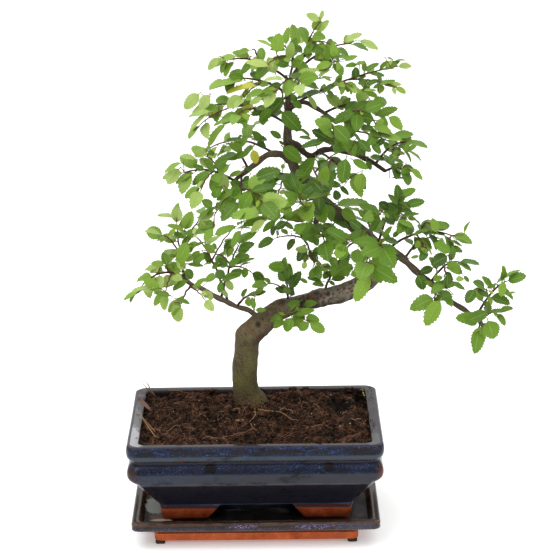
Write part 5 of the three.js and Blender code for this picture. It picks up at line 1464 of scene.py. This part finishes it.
# Tone: painted light and shade, brighter in front and on the outside and darker inside the crown, with a
# spread of its own. Short leaves are a little yellower.
def tonesFor(leafRows, look):
    places, lengths = leafRows[:, :3], leafRows[:, 9]
    front = np.clip((20 - places[:, 1]) / 90, -0.4, 1)
    gone = np.hypot(places[:, 0] - crownLook["axis"][0], places[:, 1] - crownLook["axis"][1])
    inside = 1 - np.clip(gone / 60, 0, 1)
    own = dice.uniform(-look["spread"], look["spread"], len(places))
    tone = look["middle"] + look["front"] * front - look["inside"] * inside + paler(places) + own
    return np.clip(tone, 0.02, 1), np.clip((12 - lengths) / 30, 0, 0.2)


leaves = makeLeaves("zelkovaLeaves", blades, *tonesFor(blades, toneLook))
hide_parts(*sprayNodes)

# Leaves where the photograph shows them, in its pixels: stalk end x, y, tip x, y, width, tone from 0 to 1.
# A tone past 1 is a yellowing leaf. Each tone is how bright the leaf shows there, so light and shade are
# painted into it along with its own green.
seenLeaves = [
    (319, 20, 306, 14, 8, .9), (321, 19, 323, 10, 5, 1), (317, 32, 329, 20, 9, .75),
    (277, 52, 279, 33, 14, .65), (273, 48, 256, 39, 4, .7), (297, 45, 292, 24, 11, .7),
    (289, 59, 292, 42, 11, .75), (249, 56, 232, 52, 8, .55), (236, 57, 216, 60, 6, .6),
    (218, 58, 208, 70, 8, .95), (226, 60, 221, 74, 5, .5), (268, 66, 245, 62, 8, 1.2),
    (275, 73, 268, 57, 12, .8), (244, 78, 228, 76, 8, .35), (243, 81, 208, 89, 5, .6),
    (256, 86, 225, 93, 6, 1.9), (199, 94, 184, 109, 12, .75), (209, 95, 200, 110, 12, .75),
    (240, 96, 227, 108, 11, .75), (288, 76, 319, 86, 9, .12), (322, 92, 296, 98, 6, .2),
    (317, 49, 301, 35, 9, .5), (304, 54, 314, 42, 8, .4), (316, 58, 330, 45, 13, .65),
    (334, 57, 333, 43, 8, .6), (296, 61, 310, 74, 9, .4), (289, 66, 272, 58, 12, .35),
    (331, 63, 316, 68, 9, .65), (337, 62, 340, 76, 6, .7), (345, 41, 363, 34, 7, .85),
    (360, 41, 379, 49, 8, .9), (348, 58, 331, 57, 4, .4), (345, 61, 358, 56, 5, .5),
    (357, 65, 345, 66, 5, .5), (356, 64, 366, 62, 4, .6), (356, 78, 356, 67, 9, .1),
    (366, 71, 379, 63, 6, .3), (380, 69, 388, 61, 5, .4), (391, 67, 400, 60, 5, .3),
    (387, 58, 394, 60, 2, .5), (383, 70, 394, 68, 3, .3), (395, 61, 407, 60, 2, .5),
    (371, 74, 385, 76, 5, .3), (366, 80, 358, 84, 6, .2), (367, 84, 379, 80, 6, .2),
    (382, 84, 373, 88, 5, .3), (380, 85, 396, 80, 4, .4), (384, 85, 398, 88, 4, .5),
    (370, 86, 362, 91, 6, .25), (376, 91, 364, 90, 3, .7), (366, 92, 378, 97, 6, .6),
    (331, 81, 322, 76, 4, 1.1), (330, 70, 318, 76, 4, .9), (344, 87, 341, 95, 5, .6),
    (334, 84, 342, 78, 4, .3), (352, 86, 351, 95, 4, .4), (326, 95, 344, 110, 10, .8),
    (308, 97, 317, 109, 6, .85), (282, 112, 301, 131, 16, .4), (269, 107, 251, 115, 9, .35),
    (271, 109, 259, 122, 10, .45), (284, 98, 266, 118, 12, .22), (254, 107, 234, 114, 6, 1.8),
    (250, 115, 236, 123, 8, .4), (224, 106, 209, 118, 7, .5), (210, 112, 188, 117, 6, .65),
    (207, 114, 189, 133, 5, .75), (233, 119, 213, 126, 5, .5), (225, 125, 207, 148, 7, .65),
    (281, 138, 270, 131, 7, .5), (262, 140, 252, 131, 8, .6), (258, 141, 266, 148, 6, .3),
    (243, 141, 226, 140, 5, .3), (242, 151, 229, 143, 10, .65), (233, 147, 223, 150, 4, .9),
    (208, 150, 194, 156, 10, .75), (208, 151, 215, 155, 5, .35), (247, 153, 233, 158, 8, .65),
    (253, 150, 256, 164, 9, 2), (237, 154, 213, 163, 6, .35), (228, 159, 213, 168, 8, .4),
    (229, 165, 218, 173, 9, .75), (195, 159, 180, 156, 5, .75), (204, 170, 193, 165, 7, .25),
    (214, 171, 207, 163, 7, .4), (209, 172, 192, 185, 10, .4), (203, 181, 193, 196, 3, .9),
    (194, 173, 175, 184, 6, .4), (216, 174, 228, 189, 14, .9), (222, 187, 211, 196, 9, .4),
    (242, 172, 229, 176, 6, .8), (249, 176, 243, 183, 6, .3), (244, 168, 252, 171, 4, .3),
    (256, 178, 281, 170, 14, .35), (277, 184, 252, 181, 12, .5), (283, 147, 302, 162, 14, .6),
    (315, 158, 297, 184, 13, .6), (317, 161, 337, 179, 13, .5), (346, 159, 342, 184, 14, .45),
    (362, 173, 359, 192, 14, .85), (341, 186, 323, 183, 8, .45), (340, 187, 349, 195, 5, .35),
    (353, 160, 368, 169, 9, .6), (331, 140, 312, 130, 13, .1), (300, 129, 310, 136, 4, .5),
    (323, 142, 301, 147, 8, .25), (334, 126, 350, 142, 15, .4), (349, 136, 334, 153, 14, .6),
    (336, 122, 320, 116, 6, .3), (354, 113, 333, 122, 10, .35), (355, 105, 343, 107, 9, .45),
    (370, 103, 357, 108, 10, .75), (370, 100, 376, 112, 8, .3), (378, 115, 398, 108, 10, .6),
    (374, 120, 353, 115, 11, .35), (376, 125, 384, 119, 6, .8), (374, 129, 360, 127, 6, .2),
    (374, 127, 392, 132, 8, .7), (380, 136, 403, 140, 7, .75), (393, 137, 414, 134, 8, .65),
    (388, 136, 370, 135, 6, .5), (405, 152, 409, 142, 5, .75), (408, 152, 418, 143, 5, .8),
    (394, 155, 398, 150, 5, .75), (392, 165, 400, 176, 7, .75), (402, 168, 409, 180, 10, .65),
    (410, 169, 423, 180, 6, .8), (392, 178, 406, 179, 3, .3), (384, 142, 391, 152, 7, .4),
    (372, 143, 381, 154, 7, .4), (362, 146, 355, 156, 7, .25), (181, 163, 164, 173, 5, .6),
    (179, 169, 167, 184, 13, .75), (174, 217, 157, 215, 5, .9), (177, 222, 178, 207, 11, .8),
    (185, 229, 192, 211, 12, .6), (183, 230, 167, 225, 6, .6), (184, 238, 172, 232, 5, .35),
    (181, 238, 156, 240, 5, .7), (187, 236, 192, 229, 6, .35), (195, 234, 215, 226, 8, .5),
    (213, 229, 204, 241, 8, .6), (215, 235, 236, 226, 9, .6), (212, 207, 202, 200, 9, .3),
    (213, 208, 197, 219, 4, .5), (214, 208, 207, 216, 4, .4), (219, 209, 217, 202, 6, .25),
    (187, 242, 178, 268, 14, .5), (220, 188, 213, 198, 9, .4), (233, 190, 216, 200, 9, .5),
    (232, 186, 240, 198, 10, .4), (251, 193, 240, 211, 15, .6), (258, 214, 230, 216, 12, .8),
    (280, 218, 256, 204, 16, .6), (268, 219, 242, 226, 10, .75), (265, 221, 250, 232, 8, 1.1),
    (257, 232, 240, 243, 7, .65), (241, 231, 231, 248, 8, .55), (232, 240, 225, 252, 9, .25),
    (238, 252, 249, 249, 8, .5), (284, 164, 282, 169, 5, .85), (285, 200, 270, 201, 8, .85),
    (286, 191, 279, 193, 5, 1.1), (297, 209, 297, 223, 12, .75), (306, 209, 312, 224, 8, .4),
    (286, 222, 275, 229, 8, .3), (274, 225, 272, 236, 6, .15), (283, 222, 294, 229, 6, .4),
    (293, 231, 303, 228, 4, .4), (312, 233, 318, 246, 8, .4), (323, 247, 329, 241, 7, .3),
    (331, 248, 343, 240, 10, .55), (345, 245, 340, 260, 13, .6), (358, 249, 357, 264, 13, .7),
    (329, 231, 320, 237, 5, .5), (332, 220, 350, 228, 7, .4), (307, 199, 332, 194, 5, .75),
    (338, 200, 335, 190, 9, .25), (337, 205, 370, 204, 9, .75), (342, 209, 356, 222, 13, .8),
    (332, 206, 330, 217, 7, .6), (310, 203, 319, 215, 8, .1), (302, 193, 315, 184, 10, .25),
    (313, 181, 323, 192, 12, .25), (297, 190, 290, 172, 9, .3), (293, 190, 283, 180, 10, .4),
    (381, 222, 358, 212, 13, .65), (380, 222, 370, 230, 9, .6), (389, 209, 379, 202, 10, .25),
    (399, 202, 397, 184, 10, .4), (403, 195, 416, 189, 9, .65), (406, 205, 425, 201, 10, .45),
    (398, 205, 388, 194, 6, .35), (400, 206, 410, 203, 6, .8), (401, 217, 420, 214, 5, .4),
    (399, 210, 384, 218, 7, .4), (398, 212, 396, 222, 5, .9), (399, 221, 413, 227, 6, .7),
    (437, 232, 432, 218, 9, .85), (414, 235, 431, 229, 5, .7), (422, 233, 446, 235, 5, .5),
    (464, 233, 470, 221, 3, .8), (457, 240, 468, 244, 3, .5), (450, 241, 463, 247, 3, .6),
    (450, 252, 434, 243, 11, .65), (450, 247, 463, 252, 6, .6), (447, 256, 431, 265, 14, .2),
    (433, 268, 419, 273, 9, .2), (447, 262, 462, 274, 10, .7), (418, 243, 412, 250, 6, .5),
    (421, 248, 428, 254, 4, .8), (411, 258, 419, 256, 4, .9), (384, 240, 399, 243, 6, .12),
    (392, 259, 401, 259, 4, .3), (378, 243, 352, 241, 12, .55), (370, 252, 395, 259, 16, .65),
    (374, 267, 350, 275, 14, .75), (374, 268, 398, 282, 16, .55), (369, 275, 355, 302, 16, .8),
    (353, 265, 336, 270, 4, .35), (167, 265, 163, 252, 8, .25), (157, 268, 144, 270, 4, .7),
    (159, 291, 143, 277, 12, .55), (155, 288, 131, 291, 4, .7), (141, 291, 123, 300, 5, .6),
    (170, 296, 155, 292, 6, .25), (176, 299, 190, 304, 5, .35), (174, 305, 180, 322, 13, .7),
    (181, 272, 164, 266, 9, .6), (181, 275, 163, 287, 10, .85), (187, 281, 172, 290, 7, .45),
    (186, 269, 192, 279, 9, .2), (194, 262, 204, 254, 9, .4), (205, 256, 211, 264, 6, .3),
    (208, 281, 214, 273, 7, .5), (206, 291, 201, 296, 5, .9), (207, 291, 212, 300, 7, .9),
    (227, 265, 218, 258, 8, .25), (223, 280, 241, 274, 7, .5), (226, 281, 233, 290, 8, .9),
    (222, 282, 219, 293, 7, .4), (193, 248, 206, 241, 3, .4), (192, 247, 189, 253, 5, .3),
    (229, 266, 240, 258, 7, .5), (285, 268, 268, 266, 12, .65), (289, 281, 289, 263, 10, .5),
    (290, 288, 301, 271, 11, .3), (286, 292, 275, 288, 7, .35), (288, 293, 295, 292, 4, .3),
    (300, 301, 285, 313, 11, .6), (296, 315, 315, 310, 8, .75), (291, 318, 286, 332, 12, .65),
    (309, 323, 299, 330, 10, .7), (310, 323, 325, 332, 11, .8), (275, 319, 282, 319, 7, .5),
    (262, 293, 248, 294, 4, .5), (254, 309, 252, 297, 6, .6), (256, 310, 266, 310, 6, .6),
    (308, 250, 295, 249, 7, .95), (306, 262, 303, 269, 6, 1), (320, 269, 331, 266, 8, .95),
    (310, 278, 317, 267, 8, .5), (321, 281, 307, 277, 6, .4), (326, 277, 330, 271, 6, .25),
    (337, 264, 331, 257, 7, .6), (257, 276, 264, 280, 5, .35), (243, 262, 255, 258, 4, .85),
    (246, 268, 244, 278, 7, .75), (418, 275, 424, 290, 11, .4), (432, 286, 455, 285, 9, .6),
    (447, 285, 448, 275, 8, .3), (450, 283, 466, 289, 6, .45), (451, 295, 433, 301, 8, .4),
    (440, 301, 425, 326, 17, .8), (475, 290, 466, 303, 12, .35), (477, 290, 489, 297, 6, .25),
    (483, 302, 491, 309, 5, .5), (487, 313, 466, 321, 12, .45), (490, 312, 506, 311, 5, .5),
    (488, 321, 494, 339, 16, .65), (483, 327, 474, 350, 15, .75), (495, 285, 487, 288, 5, .5),
    (497, 283, 521, 269, 4, .7), (504, 282, 501, 297, 8, .85), (507, 294, 516, 292, 3, .9),
    (464, 276, 469, 282, 4, .5), (456, 279, 464, 279, 6, .95), (437, 274, 434, 281, 4, .9),
    (303, 55, 293, 68, 9, .6), (322, 73, 311, 68, 3, 1.1), (283, 79, 263, 80, 5, .85),
    (281, 80, 276, 76, 4, 1.1), (281, 84, 268, 88, 7, .15), (268, 83, 250, 87, 5, .3),
    (264, 91, 246, 97, 7, .5), (274, 93, 262, 91, 6, .45), (262, 98, 249, 104, 7, .8),
    (291, 95, 297, 102, 7, .4), (319, 89, 300, 84, 5, .3), (322, 93, 338, 83, 6, .3),
    (293, 102, 302, 108, 7, .5), (311, 139, 299, 137, 4, .6), (283, 144, 279, 141, 3, .3),
    (300, 71, 306, 75, 4, 1), (252, 191, 275, 186, 9, .3), (230, 182, 247, 190, 9, .3),
    (252, 193, 262, 208, 12, .45), (262, 195, 271, 200, 5, .8), (276, 221, 262, 232, 7, .7),
    (296, 200, 282, 206, 9, .75), (297, 200, 284, 192, 9, .65), (308, 204, 299, 203, 5, 1.1),
    (293, 214, 285, 217, 5, .6), (356, 131, 343, 138, 9, .5), (358, 140, 371, 152, 8, .3),
    (385, 139, 374, 147, 7, .25), (379, 138, 366, 142, 6, .3), (370, 157, 386, 160, 6, .45),
    (384, 160, 397, 166, 5, .5), (367, 161, 371, 170, 6, .45), (404, 163, 387, 159, 4, .7),
    (399, 210, 388, 203, 8, .3), (379, 214, 362, 206, 9, .45), (361, 229, 349, 220, 10, .25),
    (384, 238, 392, 226, 6, .45), (393, 237, 401, 230, 5, .6), (309, 195, 313, 178, 10, .4),
    (314, 188, 330, 190, 8, .15), (333, 203, 316, 201, 7, .2), (366, 231, 346, 240, 10, .5),
    (334, 224, 329, 231, 4, .4), (333, 231, 346, 238, 7, .4), (382, 234, 391, 239, 6, .5),
    (329, 281, 335, 285, 4, .35), (320, 250, 314, 248, 4, .4), (300, 279, 308, 283, 4, .7),
    (184, 270, 177, 257, 10, .75), (192, 256, 200, 251, 5, .45), (203, 252, 211, 262, 7, .4),
    (188, 265, 204, 266, 5, .5), (231, 262, 244, 261, 7, .35), (222, 290, 228, 297, 5, .85),
    (220, 281, 224, 291, 6, .5), (157, 269, 150, 273, 4, .7),
]
seenLook = {
    "ahead": (1, 9), "lean": 0.22, "leastWidth": 0.5, "limbPenalty": 4.0, "backPenalty": 0.1, "limbGap": 2,
    "coverShare": 0.6, "coverPixels": 2, "stem": 0.28, "stemSides": 5, "stemRings": 6, "stemArch": 1.2,
    "droops": (0, 0.08), "tonedBy": 0.7,
}


# Each stalk starts at the twig or limb that is nearest in the picture, a little in front of it, and a stem
# joins the two. A leaf that covers a limb in the picture stands in front of it. One that looks narrower
# than leastWidth of its length is turned about its own line.
def placeSeen(rows, look):
    ends, tips = rows[:, :2], rows[:, 2:4]
    paths = [np.array(limb, float) for limb in limbs.values()]
    fronts = np.concatenate([onPath(path, np.linspace(0.05, 1, 90)) for path in paths])
    fronts = fronts[:, :3] - fronts[:, 3:] * np.array([0, 1, 0])
    blocks = [twigLines.reshape(-1, 3)] + [onPath(path[:, :3], np.linspace(0.2, 1, 60)) for path in paths]
    penalty = np.repeat([0.0] + [look["limbPenalty"]] * len(paths), [len(block) for block in blocks])
    carriers = np.concatenate(blocks)
    gap = gapTo(ends[:, None], pixelsOf(carriers))
    holder = carriers[np.argmin(gap + penalty + (carriers[:, 1] + 60) * look["backPenalty"], axis=1)]
    depth = holder[:, 1] - draw(look["ahead"], len(rows))
    share = np.linspace(0, 1, 7)[None, :, None]
    spots = between(ends[:, None], tips[:, None], share)
    toLimb = gapTo(spots[:, :, None], pixelsOf(fronts)).min(1)
    covers = toLimb < rows[:, 4:5] * look["coverShare"] + look["coverPixels"]
    depth = np.minimum(depth, np.where(covers, fronts[None, :, 1], 99).min(1) - look["limbGap"])
    start = seenAt(ends, depth)
    flatLength = gapTo(seenAt(tips, depth), start)
    tip = seenAt(tips, depth + flatLength * dice.uniform(-1, 1, len(rows)) * look["lean"])
    direction = unit(tip - start)
    length = gapTo(tip, start)
    seenWidth = rows[:, 4] * flatLength / np.maximum(gapTo(tips, ends), 1)
    width = np.maximum(seenWidth, look["leastWidth"] * length)
    toCamera = unit(np.array(cameraLook["place"]) - start)
    facing = squareTo(toCamera, direction)
    across = np.cross(direction, facing)
    across = across * np.where(across[:, 2:] < 0, -1, 1)
    turn = np.arccos(np.clip(seenWidth / width, 0, 0.98))[:, None]
    normal = facing * np.cos(turn) + across * np.sin(turn)
    share = np.linspace(0, 1, look["stemRings"])[None, :, None]
    stems = between(holder[:, None], (start - direction * 2)[:, None], share)
    stems = stems + upward * look["stemArch"] * share * (1 - share)
    droop = draw(look["droops"], len(rows))
    meanWidening = np.mean(bladeLook["widths"])
    return np.column_stack([start, direction, normal, length, width / meanWidening, droop]), stems


def makeStems(lines, look):
    rings = look["stemRings"]
    radii = np.linspace(1.5, 1, rings)[None] * np.full((len(lines), 1), look["stem"])
    tipward = np.linspace(0.5, 1, rings)[None]
    return makeTubes("leafStems", lines, radii, look["stemSides"], twigBark, "bark", "tipward", tipward)


seen = np.array(seenLeaves, float)
seenRows, stemLines = placeSeen(seen, seenLook)
# painted light: these leaves also get part of the paler left and top
seenTone = np.clip(seen[:, 5] + paler(seenRows) * seenLook["tonedBy"], 0, 1)
frontLeaves = makeLeaves("frontLeaves", seenRows, seenTone, np.clip(seen[:, 5] - 1, 0, 1))
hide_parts(*sprayNodes)
leafStems = makeStems(stemLines, seenLook)
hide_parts(*sprayNodes)


# Smaller leaves between the large ones, on each twig at random shares and on alternate sides. Those that
# would close a gap the photograph shows, farther than clear from any leaf read there, are left out.
def extraLeaves(lines, look):
    count = len(lines) * look["extraPerTwig"]
    twig = np.repeat(np.arange(len(lines)), look["extraPerTwig"])
    at = draw(look["shares"], count) * (lines.shape[1] - 1)
    i = np.minimum(at.astype(int), lines.shape[1] - 2)
    f = (at - i)[:, None]
    place = between(lines[twig, i], lines[twig, i + 1], f)
    heading = unit(lines[twig, i + 1] - lines[twig, i])
    outward = unit((place - np.array(look["axis"] + (0,))) * np.array([1, 1, 0]))
    own = dice.uniform(-look["turned"], look["turned"], (count, 3))
    facing = unit(np.array([0, -0.38, 0.6]) + 0.42 * outward + own)      # to the front, up and outward
    across = unit(np.cross(heading, facing)) * np.where(np.arange(count) % 2, 1, -1)[:, None]
    angle = np.radians(draw(look["angles"], count))[:, None]
    sink = upward * draw(look["sinks"], (count, 1))
    direction = unit(heading * np.cos(angle) + across * np.sin(angle) - sink)
    normal = squareTo(facing, direction)
    length = draw(look["sizes"], count)
    width = length * draw(look["widths"], count)
    start = place + direction * look["stalk"]
    middle = pixelsOf(start + direction * length[:, None] * 0.6)
    seenMiddle = (seen[:, :2] + seen[:, 2:4]) / 2
    near = gapTo(middle[:, None], seenMiddle).min(1) < look["clear"]
    droop = draw(look["droops"], count)
    return np.column_stack([start, direction, normal, length, width, droop])[near]


extraRows = extraLeaves(twigLines, crownLook)
smallLeaves = makeLeaves("smallLeaves", extraRows, *tonesFor(extraRows, toneLook))
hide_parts(*sprayNodes)

tipward = np.linspace(0, 1, twigLook["rings"])[None] * 0.7 + (1 - twigMains)[:, None] * 0.3
twigs = makeTubes("twigs", twigLines, twigRadii, twigLook["sides"], twigBark, "bark", "tipward", tipward)
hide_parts(*sprayNodes)
print("scene: twigs and leaves made")


# Floor, light and camera

stageLook = {"floorHalf": 9.0, "floorColour": (0.94, 0.94, 0.94, 1), "world": 0.72, "floorGlow": 0.24}
softBoxes = {      # place, point it looks at, side in metres, watts
    "keyLight": ((-1.1, -1.3, 1.7), (0, 0, 0.2), 1.3, 17),
    "topLight": ((0.0, 0.7, 2.6), (0, 0.5, 0), 4.0, 62),
    "fillLight": ((1.5, -0.9, 0.9), (0, 0, 0.2), 1.0, 5),
    "farLight": ((0.0, 3.6, 2.2), (0, 3.6, 0), 4.0, 30),
}

floorMesh = bpy.data.meshes.new("floor")
half = stageLook["floorHalf"]
floorCorners = [(-half, -half, 0), (half, -half, 0), (half, half, 0), (-half, half, 0)]
floorMesh.from_pydata(floorCorners, [], [(0, 1, 2, 3)])
floor = bpy.data.objects.new("floor", floorMesh)
bpy.context.collection.objects.link(floor)
floorPaint = Paint("paleFloor", Roughness=0.9, Base_Color=stageLook["floorColour"],
                   Emission_Color=stageLook["floorColour"], Emission_Strength=stageLook["floorGlow"])
floorMesh.materials.append(floorPaint.material)

world = bpy.data.worlds.new("paleRoom")
bpy.context.scene.world = world
world.use_nodes = True
world.node_tree.nodes["Background"].inputs["Color"].default_value = (1, 1, 1, 1)
world.node_tree.nodes["Background"].inputs["Strength"].default_value = stageLook["world"]


def softBox(name, place, aim, size, power):      # a square light that looks at aim
    light = bpy.data.lights.new(name, "AREA")
    light.size = size
    light.energy = power
    lamp = bpy.data.objects.new(name, light)
    bpy.context.collection.objects.link(lamp)
    away = np.array(place, float) - np.array(aim, float)
    back = away / np.linalg.norm(away)
    right = unit(np.cross(upward, back) if abs(back[2]) < 0.99 else np.array([1.0, 0, 0]))
    top = np.cross(back, right)
    turn = Matrix(np.column_stack([right, top, back]).tolist()).to_4x4()
    turn.translation = place
    lamp.matrix_world = turn
    return lamp


for name, (place, aim, size, power) in softBoxes.items():
    softBox(name, place, aim, size, power)


def makeCamera(look):
    right, below, forward = cameraAxes(look)
    camera = bpy.data.objects.new("camera", bpy.data.cameras.new("camera"))
    bpy.context.collection.objects.link(camera)
    camera.data.sensor_width = 36
    camera.data.lens = look["focal"] / look["width"] * 36
    camera.data.clip_end = 60
    turn = Matrix(np.column_stack([right, -below, -forward]).tolist()).to_4x4()
    turn.translation = np.array(look["place"]) / 1000 + potMiddle
    camera.matrix_world = turn
    return camera


bpy.context.scene.camera = makeCamera(cameraLook)
bpy.context.scene.view_settings.view_transform = "Standard"
print("scene: stage, lights and camera set")
